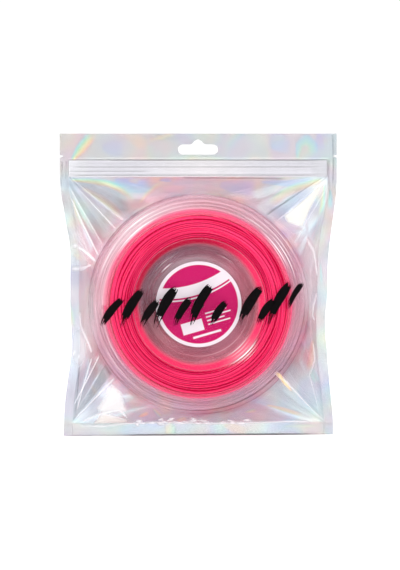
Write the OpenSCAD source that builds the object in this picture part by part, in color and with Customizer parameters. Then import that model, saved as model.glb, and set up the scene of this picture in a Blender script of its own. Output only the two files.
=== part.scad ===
// Reel of racket string, sealed in a flat zip pouch that hangs by a slot in its header.
// Units are millimetres. The origin is the centre of the hang slot. X runs to the right,
// Z up, and the clear front of the pouch faces -Y. The reel's axis runs along Y.

/* [Pouch] */
// Width of the pouch across its header
pouch_w = 228.4; // [226:0.2:236]
// Height of the pouch, bottom edge to top edge
pouch_h = 250.2; // [247:0.2:262]
// Thickness of one film
film_t = 0.15; // [0.1:0.05:0.3]
// Width of the welded seal down each side
side_seal = 7; // [5:0.5:9]
// Height of the welded seal along the bottom
bottom_seal = 10.4; // [7:0.2:12]
// How far each side is drawn in where the reel spreads the films
waist_in = 9.2; // [5:0.2:10]
// How far each side is drawn in at the bottom edge
foot_in = 2.6; // [0:0.2:5]
// Height of the straight stretch of the drawn-in waist
waist_h = 66; // [40:1:90]
// Depth of the fan creases between the reel's rim and the seals
crease_h = 0.7; // [0:0.1:1]
// How hard the film's folds gather towards the four corners, 0 for evenly spread
corner_pull = 0.8; // [0:0.05:0.9]

/* [Hang slot] */
// Distance from the pouch's top edge down to the slot's centre
slot_drop = 13.2; // [11:0.2:16]
// Length of the hang slot
slot_w = 32; // [24:0.5:36]
// Height of the hang slot's round-ended bar
slot_h = 8; // [6:0.5:9]
// Width of the hump over the middle of the slot
hump_w = 9; // [8:0.5:12]
// Height of the hump's top over the slot's centre
hump_rise = 8.1; // [7:0.1:9]

/* [Tear notches] */
// Distance from the slot's centre down to the notches
notch_drop = 5.6; // [5:0.1:8]
// Depth of a notch into the side seal
notch_depth = 2.5; // [1:0.5:4]
// Height of a notch's mouth
notch_h = 1.8; // [1:0.2:3]

/* [Zip] */
// Distance from the slot's centre down to the zip strips' top edge
zip_drop = 8.9; // [8.5:0.1:12]
// Height of the zip strips
zip_h = 13.6; // [12:0.2:16]
// Thickness of each zip strip
strip_t = 0.3; // [0.2:0.05:0.4]
// Clear space between the two strips
strip_gap = 1.2; // [1.1:0.05:1.5]
// Distance from the zip strips' top edge down to the closure's centre
closure_drop = 7.4; // [6:0.2:8]
// Width of the closure's channel over its lips
channel_w = 3.8; // [3.4:0.1:5]
// Thickness of a channel lip
lip_t = 0.7; // [0.5:0.05:0.9]
// Width of the rib's head
head_w = 1.6; // [1.2:0.05:1.7]
// Width of the rib's stem
stem_w = 0.8; // [0.5:0.05:0.9]
// Distance from the closure's centre down to the guide ridge
guide_drop = 4.8; // [3:0.1:5.2]

/* [Reel] */
// Diameter of the flanges
reel_d = 181.2; // [170:0.2:185]
// Overall width of the reel
reel_w = 33; // [30:0.5:36]
// Clearance from the reel's rim to the bottom seal
reel_lift = 8.4; // [7:0.2:12]
// Thickness of the flanges
flange_t = 1.5; // [1:0.1:2]
// Radial width of the thick band round each rim
rim_w = 6.9; // [5:0.1:8]
// Thickness of the rim band
rim_t = 2.5; // [2.2:0.1:3.2]
// How far the flange's outer face lies under the rim band's
rim_step = 0.4; // [0.2:0.05:0.6]
// Radius of the rim band's edges
rim_round = 0.8; // [0.3:0.1:1]
// Outer diameter of the drum
drum_d = 106; // [96:1:112]
// Thickness of the drum's wall
drum_t = 2.2; // [1.8:0.1:3]
// Length of the spigot that joins the two halves
spigot_l = 4; // [2:0.5:6]
// Radial width of the flat ring between the drum and the hub's dish
hub_ring_w = 6.5; // [4:0.5:9]
// How far the dish's wall leans in from its mouth to its floor
dish_lean = 2.5; // [1:0.5:4]
// Depth of the hub's dish, flange face to label seat
dish_depth = 7.6; // [5:0.2:9]
// Thickness of the dish's wall and floor
web_t = 1.6; // [1.2:0.1:2.4]
// Diameter of the spindle bore
bore_d = 8.4; // [7:0.1:12]
// Wall of the boss round the spindle bore
boss_t = 2.4; // [1.5:0.1:4]

/* [Label] */
// Diameter of the round label
label_d = 71; // [60:0.5:76]
// Thickness of the label
label_t = 0.12; // [0.1:0.02:0.3]
// Diameter of the hole in the label
label_hole_d = 8.8; // [8.6:0.1:14]
// Depth of the recess that the label lies in
seat_depth = 0.4; // [0.2:0.1:0.8]

/* [String] */
// Diameter of the string
string_d = 1.24; // [1.1:0.01:1.3]
// Diameter of the wound string
wound_d = 155; // [140:1:158]
// Least spacing of the turns that show on the front face
face_pitch = 1.7; // [1.7:0.05:2.5]
// Least spacing of the turns round the outside
wrap_pitch = 2.3; // [2.2:0.05:3]

/* [Hidden] */

fine = 180;               // facets of the reel's round forms
film_gap = 0.3;           // the films' clearance to the reel
seat_gap = 0.2;           // the wound string's clearance to the reel
spigot_gap = 0.1;         // radial clearance of the spigot
zip_end_gap = 0.4;        // from a zip strip's end to the side seal
zip_fit = 0.15;           // play of the rib in its channel
through = 2;              // how far a cutter runs past what it cuts

// Heights of the pouch, from the hang slot's centre
top_z = slot_drop;
bottom_z = top_z - pouch_h;
seal_z = bottom_z + bottom_seal;
zip_top_z = -zip_drop;
zip_bottom_z = zip_top_z - zip_h;
closure_z = zip_top_z - closure_drop;

// The reel, on its own axis
reel_r = reel_d / 2;
reel_z = seal_z + reel_lift + reel_r;
rim_y = reel_w / 2;
face_y = rim_y - rim_step;
inner_y = face_y - flange_t;
drum_r = drum_d / 2;
drum_in = drum_r - drum_t;
lap_r = drum_in + drum_t / 2;
dish_r = drum_r - hub_ring_w;
seat_y = face_y - dish_depth;
label_r = label_d / 2;
bore_r = bore_d / 2;
boss_r = bore_r + boss_t;

// ---------------------------------------------------------------- pouch films

// Falls from 1 to 0 as u goes from 0 to 1, level at both ends.
function ease(u) = (1 + cos(180 * min(max(u, 0), 1))) / 2;

// How far the side is drawn in at height z: nothing at the zip, most beside the reel.
waist_hi = reel_z + waist_h / 2;
waist_lo = reel_z - waist_h / 2;
function drawn_in(z) =
    z > waist_hi ? waist_in * ease((z - waist_hi) / (zip_bottom_z - waist_hi))
    : foot_in + (waist_in - foot_in) * ease((waist_lo - z) / (waist_lo - bottom_z));
function edge_x(z) = pouch_w / 2 - drawn_in(z);

// One fold line of the film for each angle round the reel. Its foot gathers towards the
// nearest corner of the pouch, as a film does that is stretched over a disc.
folds = 96;
corners = 4;
function fold_angle(i) = 360 * i / folds;
function foot_angle(i) =
    fold_angle(i) + corner_pull / corners * sin(corners * fold_angle(i)) * 180 / PI;

// The direction to a fold's foot, reaching the edge of a square of half-width 1
function foot(i) =
    let (a = foot_angle(i), reach = max(abs(cos(a)), abs(sin(a)))) [cos(a), sin(a)] / reach;
function is_top(i) = foot(i)[1] > 0.999;

// A point [x, z] of a line round the pouch that runs inset from its sides, between two heights
function round_pouch(i, high, low, inset) =
    let (s = foot(i),
         z = reel_z + s[1] * (s[1] > 0 ? high - reel_z : reel_z - low))
    [s[0] * (edge_x(z) - inset), z];
function round_reel(i, r) = [r * cos(fold_angle(i)), reel_z + r * sin(fold_angle(i))];

// Rings of the film's inner face as [x, depth, z], from the reel's rim to the pouch's edge
zip_y = strip_gap / 2 + strip_t;
tent_y = rim_y + film_gap;
weld_step = 0.5;
function at(p, depth) = [p[0], depth, p[1]];
function seal_line(i) = at(round_pouch(i, zip_bottom_z, seal_z, side_seal), is_top(i) ? zip_y : 0);
function rim_line(i) = at(round_reel(i, reel_r + 2 * film_gap), tent_y - film_gap);
function crease(i) = (i % 2 == 0 ? 1 : -1) * crease_h * pow(sin(2 * fold_angle(i)), 2);
function between(i, k) = rim_line(i) * (1 - k) + seal_line(i) * k + [0, crease(i) * sin(180 * k), 0];
film_rings = [
    [for (i = [0:folds - 1]) at(round_reel(i, reel_r - rim_round), tent_y)],
    [for (i = [0:folds - 1]) rim_line(i)],
    [for (i = [0:folds - 1]) between(i, 0.35)],
    [for (i = [0:folds - 1]) between(i, 0.7)],
    [for (i = [0:folds - 1]) seal_line(i)],
    [for (i = [0:folds - 1])
        at(round_pouch(i, zip_top_z, seal_z - weld_step, side_seal - weld_step), is_top(i) ? zip_y : 0)],
    [for (i = [0:folds - 1])
        at(round_pouch(i, zip_top_z + 2 * weld_step, seal_z - 2 * weld_step, side_seal - 2 * weld_step), 0)],
    [for (i = [0:folds - 1]) at(round_pouch(i, top_z, bottom_z, 0), 0)]
];
last_ring = len(film_rings) - 1;

// The outer face lies one film's thickness out from the inner one.
function unit(v) = v / norm(v);
function film_normal(j, i) =
    let (around = film_rings[j][(i + 1) % folds] - film_rings[j][(i + folds - 1) % folds],
         out = film_rings[min(j + 1, last_ring)][i] - film_rings[max(j - 1, 0)][i])
    unit(cross(around, out));
function is_flat(j) = j == 0 || j == last_ring;
function outer_point(j, i) =
    film_rings[j][i] + film_t * (is_flat(j) ? [0, 1, 0] : film_normal(j, i));

inner_points = [for (j = [0:last_ring], i = [0:folds - 1]) film_rings[j][i]];
outer_points = [for (j = [0:last_ring], i = [0:folds - 1]) outer_point(j, i)];
film_points = concat(inner_points, outer_points, [[0, tent_y, reel_z], [0, tent_y + film_t, reel_z]]);
sheet = folds * (last_ring + 1);
inner_hub = 2 * sheet;
outer_hub = inner_hub + 1;
function vertex(side, j, i) = side * sheet + j * folds + i % folds;
function turned(f) = [f[0], f[2], f[1]];
function sheet_faces(side) = [
    for (j = [0:last_ring - 1], i = [0:folds - 1])
        each [[vertex(side, j, i), vertex(side, j + 1, i), vertex(side, j + 1, i + 1)],
              [vertex(side, j, i), vertex(side, j + 1, i + 1), vertex(side, j, i + 1)]]
];
function hub_faces(side, hub) = [for (i = [0:folds - 1]) [hub, vertex(side, 0, i), vertex(side, 0, i + 1)]];
edge_faces = [
    for (i = [0:folds - 1])
        each [[vertex(0, last_ring, i), vertex(1, last_ring, i), vertex(1, last_ring, i + 1)],
              [vertex(0, last_ring, i), vertex(1, last_ring, i + 1), vertex(0, last_ring, i + 1)]]
];
inner_faces = concat(sheet_faces(0), hub_faces(0, inner_hub));
outer_faces = concat(sheet_faces(1), hub_faces(1, outer_hub));
film_faces = concat([for (f = inner_faces) turned(f)], outer_faces, [for (f = edge_faces) turned(f)]);

module slot_outline() {
    bar_x = (slot_w - slot_h) / 2;
    for (side = [-1, 1])
        translate([side * bar_x, 0])
            circle(d = slot_h, $fn = 48);
    square([2 * bar_x, slot_h], center = true);
    translate([0, hump_rise - hump_w / 2])
        circle(d = hump_w, $fn = 48);
}

module notch_outline() {
    polygon([[-notch_depth, 0], [through, notch_h], [through, -notch_h]]);
}

// Turns a drawing in X and Z into a cutter through the pouch.
module through_pouch() {
    rotate([90, 0, 0])
        linear_extrude(2 * through, center = true)
            children();
}

// One film: flat seals and header, raised over the zip, and a tent over the reel.
// It bulges towards +Y.
module film() {
    difference() {
        polyhedron(points = film_points, faces = film_faces);
        through_pouch()
            slot_outline();
        for (side = [0, 1])
            mirror([side, 0, 0])
                translate([edge_x(-notch_drop), 0, -notch_drop])
                    through_pouch()
                        notch_outline();
    }
}

module front_film() {
    color([0.9, 0.92, 0.95, 0.35])
        mirror([0, 1, 0])
            film();
}

module back_film() {
    color([0.82, 0.8, 0.88])
        film();
}

// ---------------------------------------------------------------- press-to-close zip

zip_l = 2 * (edge_x(zip_bottom_z) - side_seal - zip_end_gap);
strip_in = strip_gap / 2;
hook_t = 0.2;
guide_w = 0.5;
guide_rise = 0.3;

// Turns a profile drawn as [y, z] into a bar along X.
module along_zip() {
    rotate([90, 0, 90])
        linear_extrude(zip_l, center = true)
            children();
}

// The flat strip with its guide ridge, on the front (-1) or back (1) side of the closure
module strip_profile(side) {
    translate([side * (strip_in + strip_t / 2), zip_bottom_z + zip_h / 2])
        square([strip_t, zip_h], center = true);
    translate([side * (strip_in - guide_rise / 2), closure_z - guide_drop])
        square([guide_rise + strip_t, guide_w], center = true);
}

// Arrow-headed rib, which the channel's hooks hold
module rib_profile() {
    barb_y = -strip_in + hook_t + 2 * zip_fit;
    translate([0, closure_z])
        polygon([[-strip_in - strip_t / 2, -stem_w / 2], [barb_y, -stem_w / 2], [barb_y, -head_w / 2],
                 [strip_in - zip_fit, -stem_w / 4], [strip_in - zip_fit, stem_w / 4],
                 [barb_y, head_w / 2], [barb_y, stem_w / 2], [-strip_in - strip_t / 2, stem_w / 2]]);
}

// One hooked lip of the channel, above (1) or below (-1) the closure's centre
module lip_profile(side) {
    root_y = strip_in + strip_t / 2;
    mouth_y = -strip_in + zip_fit;
    hook_z = stem_w / 2 + zip_fit;
    inside_z = channel_w / 2 - lip_t;
    points = [[root_y, side * channel_w / 2], [mouth_y, side * channel_w / 2], [mouth_y, side * hook_z],
              [mouth_y + hook_t, side * hook_z], [mouth_y + hook_t, side * inside_z],
              [root_y, side * inside_z]];
    translate([0, closure_z])
        polygon(side > 0 ? points : [for (k = [len(points) - 1:-1:0]) points[k]]);
}

module zip_rib_strip() {
    color([0.93, 0.93, 0.95])
        along_zip() {
            strip_profile(-1);
            rib_profile();
        }
}

module zip_channel_strip() {
    color([0.88, 0.88, 0.92])
        along_zip() {
            strip_profile(1);
            for (side = [-1, 1])
                lip_profile(side);
        }
}

// ---------------------------------------------------------------- reel

// Turns a profile drawn as [radius, distance from the mid-plane] into a round form on the
// reel's axis, facing the front (-1) or the back (1).
module on_axis(side) {
    translate([0, 0, reel_z])
        rotate([-side * 90, 0, 0])
            rotate_extrude($fn = fine)
                children();
}

// Fine groove in the rim band, at a share of the band's width from its inner edge
groove_w = 0.5;
groove_depth = 0.3;
module groove_profile(share) {
    translate([reel_r - rim_w * (1 - share), rim_y - groove_depth])
        square([groove_w, 2 * groove_depth], center = false);
}

// Flange with its rim band
module flange_profile() {
    translate([dish_r, inner_y])
        square([reel_r - rim_w / 2 - dish_r, flange_t]);
    difference() {
        polygon([[reel_r - rim_w, rim_y], [reel_r - rim_w, face_y], [reel_r - rim_w - rim_round, face_y],
                 [reel_r - rim_w - rim_round, inner_y], [reel_r - rim_w, rim_y - rim_t],
                 [reel_r - rim_round, rim_y - rim_t], [reel_r, rim_y - rim_t + rim_round],
                 [reel_r, rim_y - rim_round], [reel_r - rim_round, rim_y]]);
        for (share = [0.45, 0.78])
            groove_profile(share);
    }
}

// Dished hub: sloped wall, floor with the label's seat, and the spindle's boss
module hub_profile() {
    floor_r = dish_r - dish_lean;
    rim_of_seat = label_r + 0.6;
    back_y = seat_y - web_t;
    polygon([[bore_r, 0], [boss_r, 0], [boss_r, back_y], [floor_r + web_t, back_y],
             [dish_r + web_t, inner_y], [dish_r + web_t, face_y], [dish_r, face_y],
             [floor_r, seat_y + seat_depth], [rim_of_seat, seat_y + seat_depth], [rim_of_seat, seat_y],
             [bore_r, seat_y]]);
}

// The front half's drum wall ends in a spigot, and the back half's in the socket for it.
module spigot_wall_profile() {
    translate([drum_in, 0])
        square([drum_t, face_y]);
    translate([drum_in, -spigot_l])
        square([lap_r - drum_in, spigot_l + drum_t]);
}

module socket_wall_profile() {
    difference() {
        translate([drum_in, 0])
            square([drum_t, face_y]);
        translate([drum_in - through, -through])
            square([lap_r + spigot_gap - drum_in + through, spigot_l + spigot_gap + through]);
    }
}

module reel_front_half() {
    color([0.92, 0.82, 0.87, 0.45])
        on_axis(-1) {
            flange_profile();
            hub_profile();
            spigot_wall_profile();
        }
}

module reel_back_half() {
    color([0.9, 0.8, 0.85, 0.45])
        on_axis(1) {
            flange_profile();
            hub_profile();
            socket_wall_profile();
        }
}

module reel_label() {
    color([0.87, 0.13, 0.45])
        on_axis(-1)
            translate([label_hole_d / 2, seat_y])
                square([label_r - label_hole_d / 2, label_t]);
}

// ---------------------------------------------------------------- string

// The turns that show are one unbroken string: it leaves the drum, spirals out over the
// front face, climbs on to the outside and winds to the back flange.
steps = 24;                               // rings in each turn
string_r = string_d / 2;
bend_r = 2 * string_d;
bend_steps = 4;
face_layer_y = inner_y - seat_gap - string_r;
face_in_r = drum_r + seat_gap + string_d + bend_r;
wrap_r = wound_d / 2 - string_r;
wrap_end_y = inner_y - seat_gap - string_d - bend_r;
face_turns = floor((wrap_r - face_in_r) / face_pitch * steps) / steps;
wrap_turns = floor((face_layer_y + wrap_end_y) / wrap_pitch * steps) / steps;
face_steps = round(face_turns * steps);
all_steps = face_steps + round(wrap_turns * steps);

function polar(a, r, y) = [r * cos(a), y, reel_z + r * sin(a)];
// The climb off the face keeps a pitch from the turn below it from the start.
function climb(u) =
    let (even = u * (face_layer_y + wrap_end_y) / wrap_turns, w = min(u, 1))
    u < 1 ? max(even, 1.04 * face_pitch * sqrt(1 - (1 - w) * (1 - w))) : even;
function turn_point(k) =
    let (a = 360 * k / steps)
    k <= face_steps
        ? polar(a, face_in_r + (wrap_r - face_in_r) * k / face_steps, -face_layer_y)
        : polar(a, wrap_r, -face_layer_y + climb((k - face_steps) / steps));

// Quarter bends at both ends: from the drum's wall, and into the back flange's face
function from_drum(k) =
    let (b = 90 * k / bend_steps)
    [face_in_r - bend_r * (1 - sin(b)), -face_layer_y, reel_z - bend_r * cos(b)];
end_a = 360 * all_steps / steps;
end_along = [-sin(end_a), 0, cos(end_a)];
function into_flange(k) =
    let (b = 90 * k / bend_steps)
    polar(end_a, wrap_r, wrap_end_y) + bend_r * sin(b) * end_along + [0, bend_r * (1 - cos(b)), 0];
string_path = concat(
    [from_drum(0) - [string_d, 0, 0]],
    [for (k = [0:bend_steps - 1]) from_drum(k)],
    [for (k = [0:all_steps]) turn_point(k)],
    [for (k = [1:bend_steps]) into_flange(k)],
    [into_flange(bend_steps) + [0, string_d, 0]]
);
path_last = len(string_path) - 1;

// A frame that turns as little as it can is carried along the string.
function tangent(k) =
    unit(string_path[min(k + 1, path_last)] - string_path[max(k - 1, 0)]);
function square_to(v, t) = unit(v - (v * t) * t);
side_vectors = [
    for (k = 0, v = [0, 1, 0]; k <= path_last; k = k + 1, v = k <= path_last ? square_to(v, tangent(k)) : v) v
];
string_sides = 6;
function ring_point(k, s) =
    let (a = 360 * s / string_sides, v = side_vectors[k])
    string_path[k] + string_r * (cos(a) * v + sin(a) * cross(tangent(k), v));
string_points = [for (k = [0:path_last], s = [0:string_sides - 1]) ring_point(k, s)];
function ring_vertex(k, s) = k * string_sides + s % string_sides;
string_faces = concat(
    [for (k = [0:path_last - 1], s = [0:string_sides - 1])
        each [[ring_vertex(k, s), ring_vertex(k, s + 1), ring_vertex(k + 1, s + 1)],
              [ring_vertex(k, s), ring_vertex(k + 1, s + 1), ring_vertex(k + 1, s)]]],
    [for (s = [1:string_sides - 2]) [0, ring_vertex(0, s + 1), ring_vertex(0, s)]],
    [for (s = [1:string_sides - 2])
        [ring_vertex(path_last, 0), ring_vertex(path_last, s), ring_vertex(path_last, s + 1)]]
);

// Least gap between the string and itself, from every ring to each ring a turn away
near = steps / 2;
turn_gap = min([
    for (k = [0:path_last - near])
        let (to_end = min(k + 3 * steps, path_last))
        min([for (m = [k + near:to_end]) norm(string_path[k] - string_path[m])])
]) - string_d;
echo(turns = all_steps / steps, string_length_m = all_steps / steps * PI * wound_d / 1000);
echo(least_gap_between_turns = turn_gap);

// Inner layers, packed solid under the turns that show. The straight chords between the
// rings of a turn dip inside its true circle.
chord_dip = 1 - cos(180 / steps);
module string_inner_layers() {
    core_r = wrap_r * (1 - chord_dip) - string_r - seat_gap;
    core_front = face_layer_y - string_r - seat_gap;
    color([0.85, 0.05, 0.3])
        on_axis(-1)
            translate([drum_r + seat_gap, seat_gap - inner_y])
                square([core_r - drum_r - seat_gap, core_front + inner_y - seat_gap]);
}

module string_outer_turns() {
    color([1, 0.16, 0.42])
        polyhedron(points = string_points, faces = string_faces);
}

front_film();
back_film();
zip_rib_strip();
zip_channel_strip();
reel_front_half();
reel_back_half();
reel_label();
string_inner_layers();
string_outer_turns();
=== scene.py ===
"""A reel of pink racket string, sealed in a zip pouch with a clear front and a holographic
silver back. Lengths in the tables of values are millimetres, and MM turns them into metres.
X runs to the right, Z up, and the clear front of the pouch faces -Y."""

import math

import bmesh
import bpy
import numpy as np
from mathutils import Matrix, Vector

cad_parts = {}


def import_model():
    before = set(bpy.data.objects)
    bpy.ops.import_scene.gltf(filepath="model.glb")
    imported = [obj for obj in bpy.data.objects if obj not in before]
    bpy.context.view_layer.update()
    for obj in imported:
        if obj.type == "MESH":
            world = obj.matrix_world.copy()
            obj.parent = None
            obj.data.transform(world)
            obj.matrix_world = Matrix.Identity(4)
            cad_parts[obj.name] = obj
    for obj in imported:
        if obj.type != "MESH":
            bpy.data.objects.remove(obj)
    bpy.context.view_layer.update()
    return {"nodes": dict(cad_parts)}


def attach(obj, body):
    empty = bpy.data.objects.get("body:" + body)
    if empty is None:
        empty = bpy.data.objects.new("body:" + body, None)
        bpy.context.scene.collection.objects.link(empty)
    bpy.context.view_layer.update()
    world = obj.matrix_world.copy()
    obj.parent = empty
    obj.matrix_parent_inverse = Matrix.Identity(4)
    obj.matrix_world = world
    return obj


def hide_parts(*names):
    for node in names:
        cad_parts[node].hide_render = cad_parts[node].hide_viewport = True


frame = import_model()

MM = 0.001

# Pouch, as in the CAD
POUCH_W, POUCH_H, FILM_T = 228.4, 250.2, 0.15
SIDE_SEAL, BOTTOM_SEAL = 7.0, 10.4
WAIST_IN, FOOT_IN, WAIST_H = 9.2, 2.6, 66.0
TOP_Z = 13.2
BOTTOM_Z = TOP_Z - POUCH_H
SEAL_Z = BOTTOM_Z + BOTTOM_SEAL
ZIP_TOP, ZIP_BOTTOM = -8.9, -22.5
CLOSURE_Z, GUIDE_Z = -16.3, -21.1
ZIP_DEPTH = 0.9
SLOT_W, SLOT_H, HUMP_W, HUMP_RISE = 32.0, 8.0, 9.0, 8.1
NOTCH_Z, NOTCH_DEPTH, NOTCH_H = -5.6, 2.5, 1.8

# Reel, as in the CAD
REEL_R, REEL_Z = 90.6, -127.6
RIM_Y, RIM_W, RIM_T, RIM_ROUND = 16.5, 6.9, 2.5, 0.8
FACE_Y, INNER_Y = 16.1, 14.6
DRUM_R, DRUM_IN = 53.0, 50.8
DISH_R, FLOOR_R, SEAT_Y, WEB_T = 46.5, 44.0, 8.5, 1.6
LABEL_R, BORE_R, BOSS_R = 35.5, 4.2, 6.6
STRING_D, WOUND_R = 1.24, 77.5
TENT_Y = RIM_Y + 0.3
SEAT_GAP = 0.2            # between the string and the reel
# Steps round a film, out from the reel to the seals, round the reel, and round one turn of string
FOLDS, TENT_RINGS, ROUND, TURN_STEPS = 520, 38, 256, 120
TUBE_SIDES = 8
SHARP = math.radians(50)  # edges that turn by more than this aren't shaded smooth

WAIST_HI, WAIST_LO = REEL_Z + WAIST_H / 2, REEL_Z - WAIST_H / 2


# ------------------------------------------------------------------ helpers

def smooth(u):
    """0 below 0, 1 above 1, level at both ends."""
    u = np.clip(u, 0.0, 1.0)
    return u * u * (3 - 2 * u)


def bump(x, centre, half):
    """A round hump of height 1 and the given half-width."""
    u = np.clip(np.abs((x - centre) / half), 0, 1)
    return (1 - u * u) ** 2


def waves(x, z, seed, size, octaves=2):
    """Smooth seeded noise over a plane, roughly from -1 to 1, with features of that size."""
    rng = np.random.default_rng(seed)
    total = np.zeros(np.broadcast(x, z).shape)
    weight = 0.0
    for o in range(octaves):
        for _ in range(4):
            a, p = rng.uniform(0, 2 * math.pi, 2)
            f = 2 * math.pi / size * 1.9 ** o * rng.uniform(0.7, 1.3)
            total += 0.55 ** o * np.sin(f * (math.cos(a) * x + math.sin(a) * z) + p)
        weight += 0.55 ** o * 2
    return total / weight


def new_object(name, data):
    obj = bpy.data.objects.new(name, data)
    bpy.context.scene.collection.objects.link(obj)
    return obj


def make_mesh(name, points, faces, material, is_smooth=True):
    """A mesh object from points in millimetres."""
    mesh = bpy.data.meshes.new(name)
    mesh.from_pydata([tuple(p) for p in np.asarray(points, float) * MM], [], faces)
    mesh.validate()
    mesh.update()
    if is_smooth:
        mesh.polygons.foreach_set("use_smooth", [True] * len(mesh.polygons))
    if material is not None:
        mesh.materials.append(material)
    return new_object(name, mesh)


def face_outward(obj):
    """Turns the faces of a closed mesh to look out."""
    bm = bmesh.new()
    bm.from_mesh(obj.data)
    bmesh.ops.recalc_face_normals(bm, faces=bm.faces)
    bm.to_mesh(obj.data)
    bm.free()


def place(obj, body, nodes=()):
    """Says what a piece rides on, and hides the CAD parts that it stands for."""
    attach(obj, body)
    if nodes:
        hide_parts(*nodes)


# ------------------------------------------------------------------ material helpers

class Value:
    """A node's output, which adds, subtracts, multiplies and divides like a number."""

    def __init__(self, nodes, socket):
        self.nodes, self.socket = nodes, socket

    def __add__(self, other):
        return self.nodes.math("ADD", self, other)

    def __sub__(self, other):
        return self.nodes.math("SUBTRACT", self, other)

    def __mul__(self, other):
        return self.nodes.math("MULTIPLY", self, other)

    def __truediv__(self, other):
        return self.nodes.math("DIVIDE", self, other)

    def __abs__(self):
        return self.nodes.math("ABSOLUTE", self)

    __radd__, __rmul__ = __add__, __mul__


class Nodes:
    """Builds the node tree of a material or a world from short calls that return Values."""

    def __init__(self, owner, output="OutputMaterial"):
        self.owner = owner
        owner.use_nodes = True
        self.tree = owner.node_tree
        self.tree.nodes.clear()
        self.out = self.tree.nodes.new("ShaderNode" + output)

    def put(self, socket, value):
        if isinstance(value, Value):
            self.tree.links.new(value.socket, socket)
        elif socket.type == "RGBA":
            socket.default_value = (*value, 1.0)
        else:
            socket.default_value = value

    def make(self, kind, inputs, output=0, **settings):
        """Adds a node, with its inputs by name or number, and returns one of its outputs."""
        node = self.tree.nodes.new("ShaderNode" + kind)
        for key, value in settings.items():
            setattr(node, key, value)
        for key, value in inputs.items():
            self.put(node.inputs[key], value)
        return Value(self, node.outputs[output])

    def math(self, operation, *values, clamp=False):
        return self.make("Math", dict(enumerate(values)), operation=operation, use_clamp=clamp)

    def span(self, value, low, high, out_low=0.0, out_high=1.0, kind="SMOOTHSTEP"):
        """Maps low..high to out_low..out_high, clamped."""
        inputs = {"Value": value, "From Min": low, "From Max": high, "To Min": out_low, "To Max": out_high}
        return self.make("MapRange", inputs, "Result", interpolation_type=kind)

    def fall(self, value, low, high, top=1.0):
        """top up to low, and 0 from high on."""
        return self.span(value, low, high, top, 0.0)

    def within(self, value, low, high, soft):
        """1 between low and high, with soft edges."""
        return self.span(value, low - soft, low + soft) * self.fall(value, high - soft, high + soft)

    def place_mm(self):
        """The point in the object's own space, in millimetres."""
        coords = self.make("TexCoord", {}, "Object")
        return self.make("VectorMath", {0: coords, "Scale": 1 / MM}, operation="SCALE")

    def axes(self, vector):
        first = self.make("SeparateXYZ", {0: vector})
        return [Value(self, socket) for socket in first.socket.node.outputs]

    def noise(self, vector, scale, detail=2.0, rough=0.5, distortion=0.0):
        return self.make("TexNoise", {"Vector": vector, "Scale": scale, "Detail": detail, "Roughness": rough,
                                      "Distortion": distortion}, "Fac")

    def mix(self, factor, a, b, blend="MIX"):
        return self.make("Mix", {0: factor, 6: a, 7: b}, 2, data_type="RGBA", blend_type=blend)

    def ramp(self, factor, stops):
        colours = self.make("ValToRGB", {0: factor}, "Color")
        elements = colours.socket.node.color_ramp.elements
        while len(elements) < len(stops):
            elements.new(0.5)
        for element, (at, colour) in zip(elements, stops):
            element.position, element.color = at, (*colour, 1.0)
        return colours

    def bump(self, height, strength, distance):
        inputs = {"Height": height, "Strength": strength, "Distance": distance * MM}
        return self.make("Bump", inputs, "Normal")

    def shader(self, kind, **inputs):
        return self.make(kind, {key.replace("_", " "): value for key, value in inputs.items()})

    def mix_shader(self, factor, a, b):
        return self.make("MixShader", {0: factor, 1: a, 2: b})

    def facing(self, power, low, high):
        """low where the surface faces the ray, high at grazing angles."""
        weight = self.make("LayerWeight", {"Blend": 0.5}, "Facing")
        return self.math("MULTIPLY_ADD", self.math("POWER", weight, power), high - low, low)

    def painted(self, name, output="Color"):
        """What the mesh carries at each point under that name."""
        return self.make("Attribute", {}, output, attribute_name=name)

    def about_axis(self, vector):
        """x and the height over the reel's axis, and the distance from that axis."""
        x, _, z = self.axes(vector)
        up = z - REEL_Z
        return x, up, self.math("SQRT", x * x + up * up)

    def finish(self, shader):
        self.put(self.out.inputs["Surface"], shader)
        return self.owner


def new_material(name):
    return Nodes(bpy.data.materials.new(name))


# Colours in linear light
PASTEL = [
    (0, (0.62, 0.5, 0.86)), (0.16, (0.42, 0.62, 0.95)), (0.32, (0.4, 0.88, 0.86)),
    (0.48, (0.58, 0.93, 0.6)), (0.62, (0.98, 0.92, 0.5)), (0.78, (1, 0.66, 0.42)), (1, (0.93, 0.5, 0.66))]
WHITE = (1.0, 1.0, 1.0)


# ------------------------------------------------------------------ materials

def clear_film_material():
    n = new_material("clear_film")
    p = n.place_mm()
    _, _, radius = n.about_axis(p)
    # Painted light: what the mesh carries lays painted glare, glints and white highlight lines over the film
    # as a pale diffuse colour, on top of its own faint haze, and darkens it along painted shade lines.
    tint, tinted = n.painted("tint"), n.painted("tint", "Alpha")
    beyond = n.span(radius, REEL_R - 1, REEL_R + 5)
    haze_and_glow = beyond * n.span(n.noise(p, 0.04), 0.3, 0.7, 0.05, 0.10)
    haze_and_glow = n.math("MAXIMUM", haze_and_glow, tinted, clamp=True)
    clear = n.shader("BsdfTransparent", Color=n.painted("cast"))
    haze_and_glare_colour = n.mix(n.math("MULTIPLY", tinted, 8.0, clamp=True), VEIL_COLOUR, tint)
    veil = n.mix_shader(haze_and_glow, clear, n.shader("BsdfDiffuse", Color=haze_and_glare_colour))
    normal = n.bump(n.noise(p, 0.3), 0.1, 0.1)
    gloss = n.shader("BsdfGlossy", Color=WHITE, Roughness=0.1, Normal=normal)
    share = n.math("MULTIPLY_ADD", beyond, 0.02, n.facing(5.0, 0.002, 0.8), clamp=True)
    return n.finish(n.mix_shader(share, veil, gloss))


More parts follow.
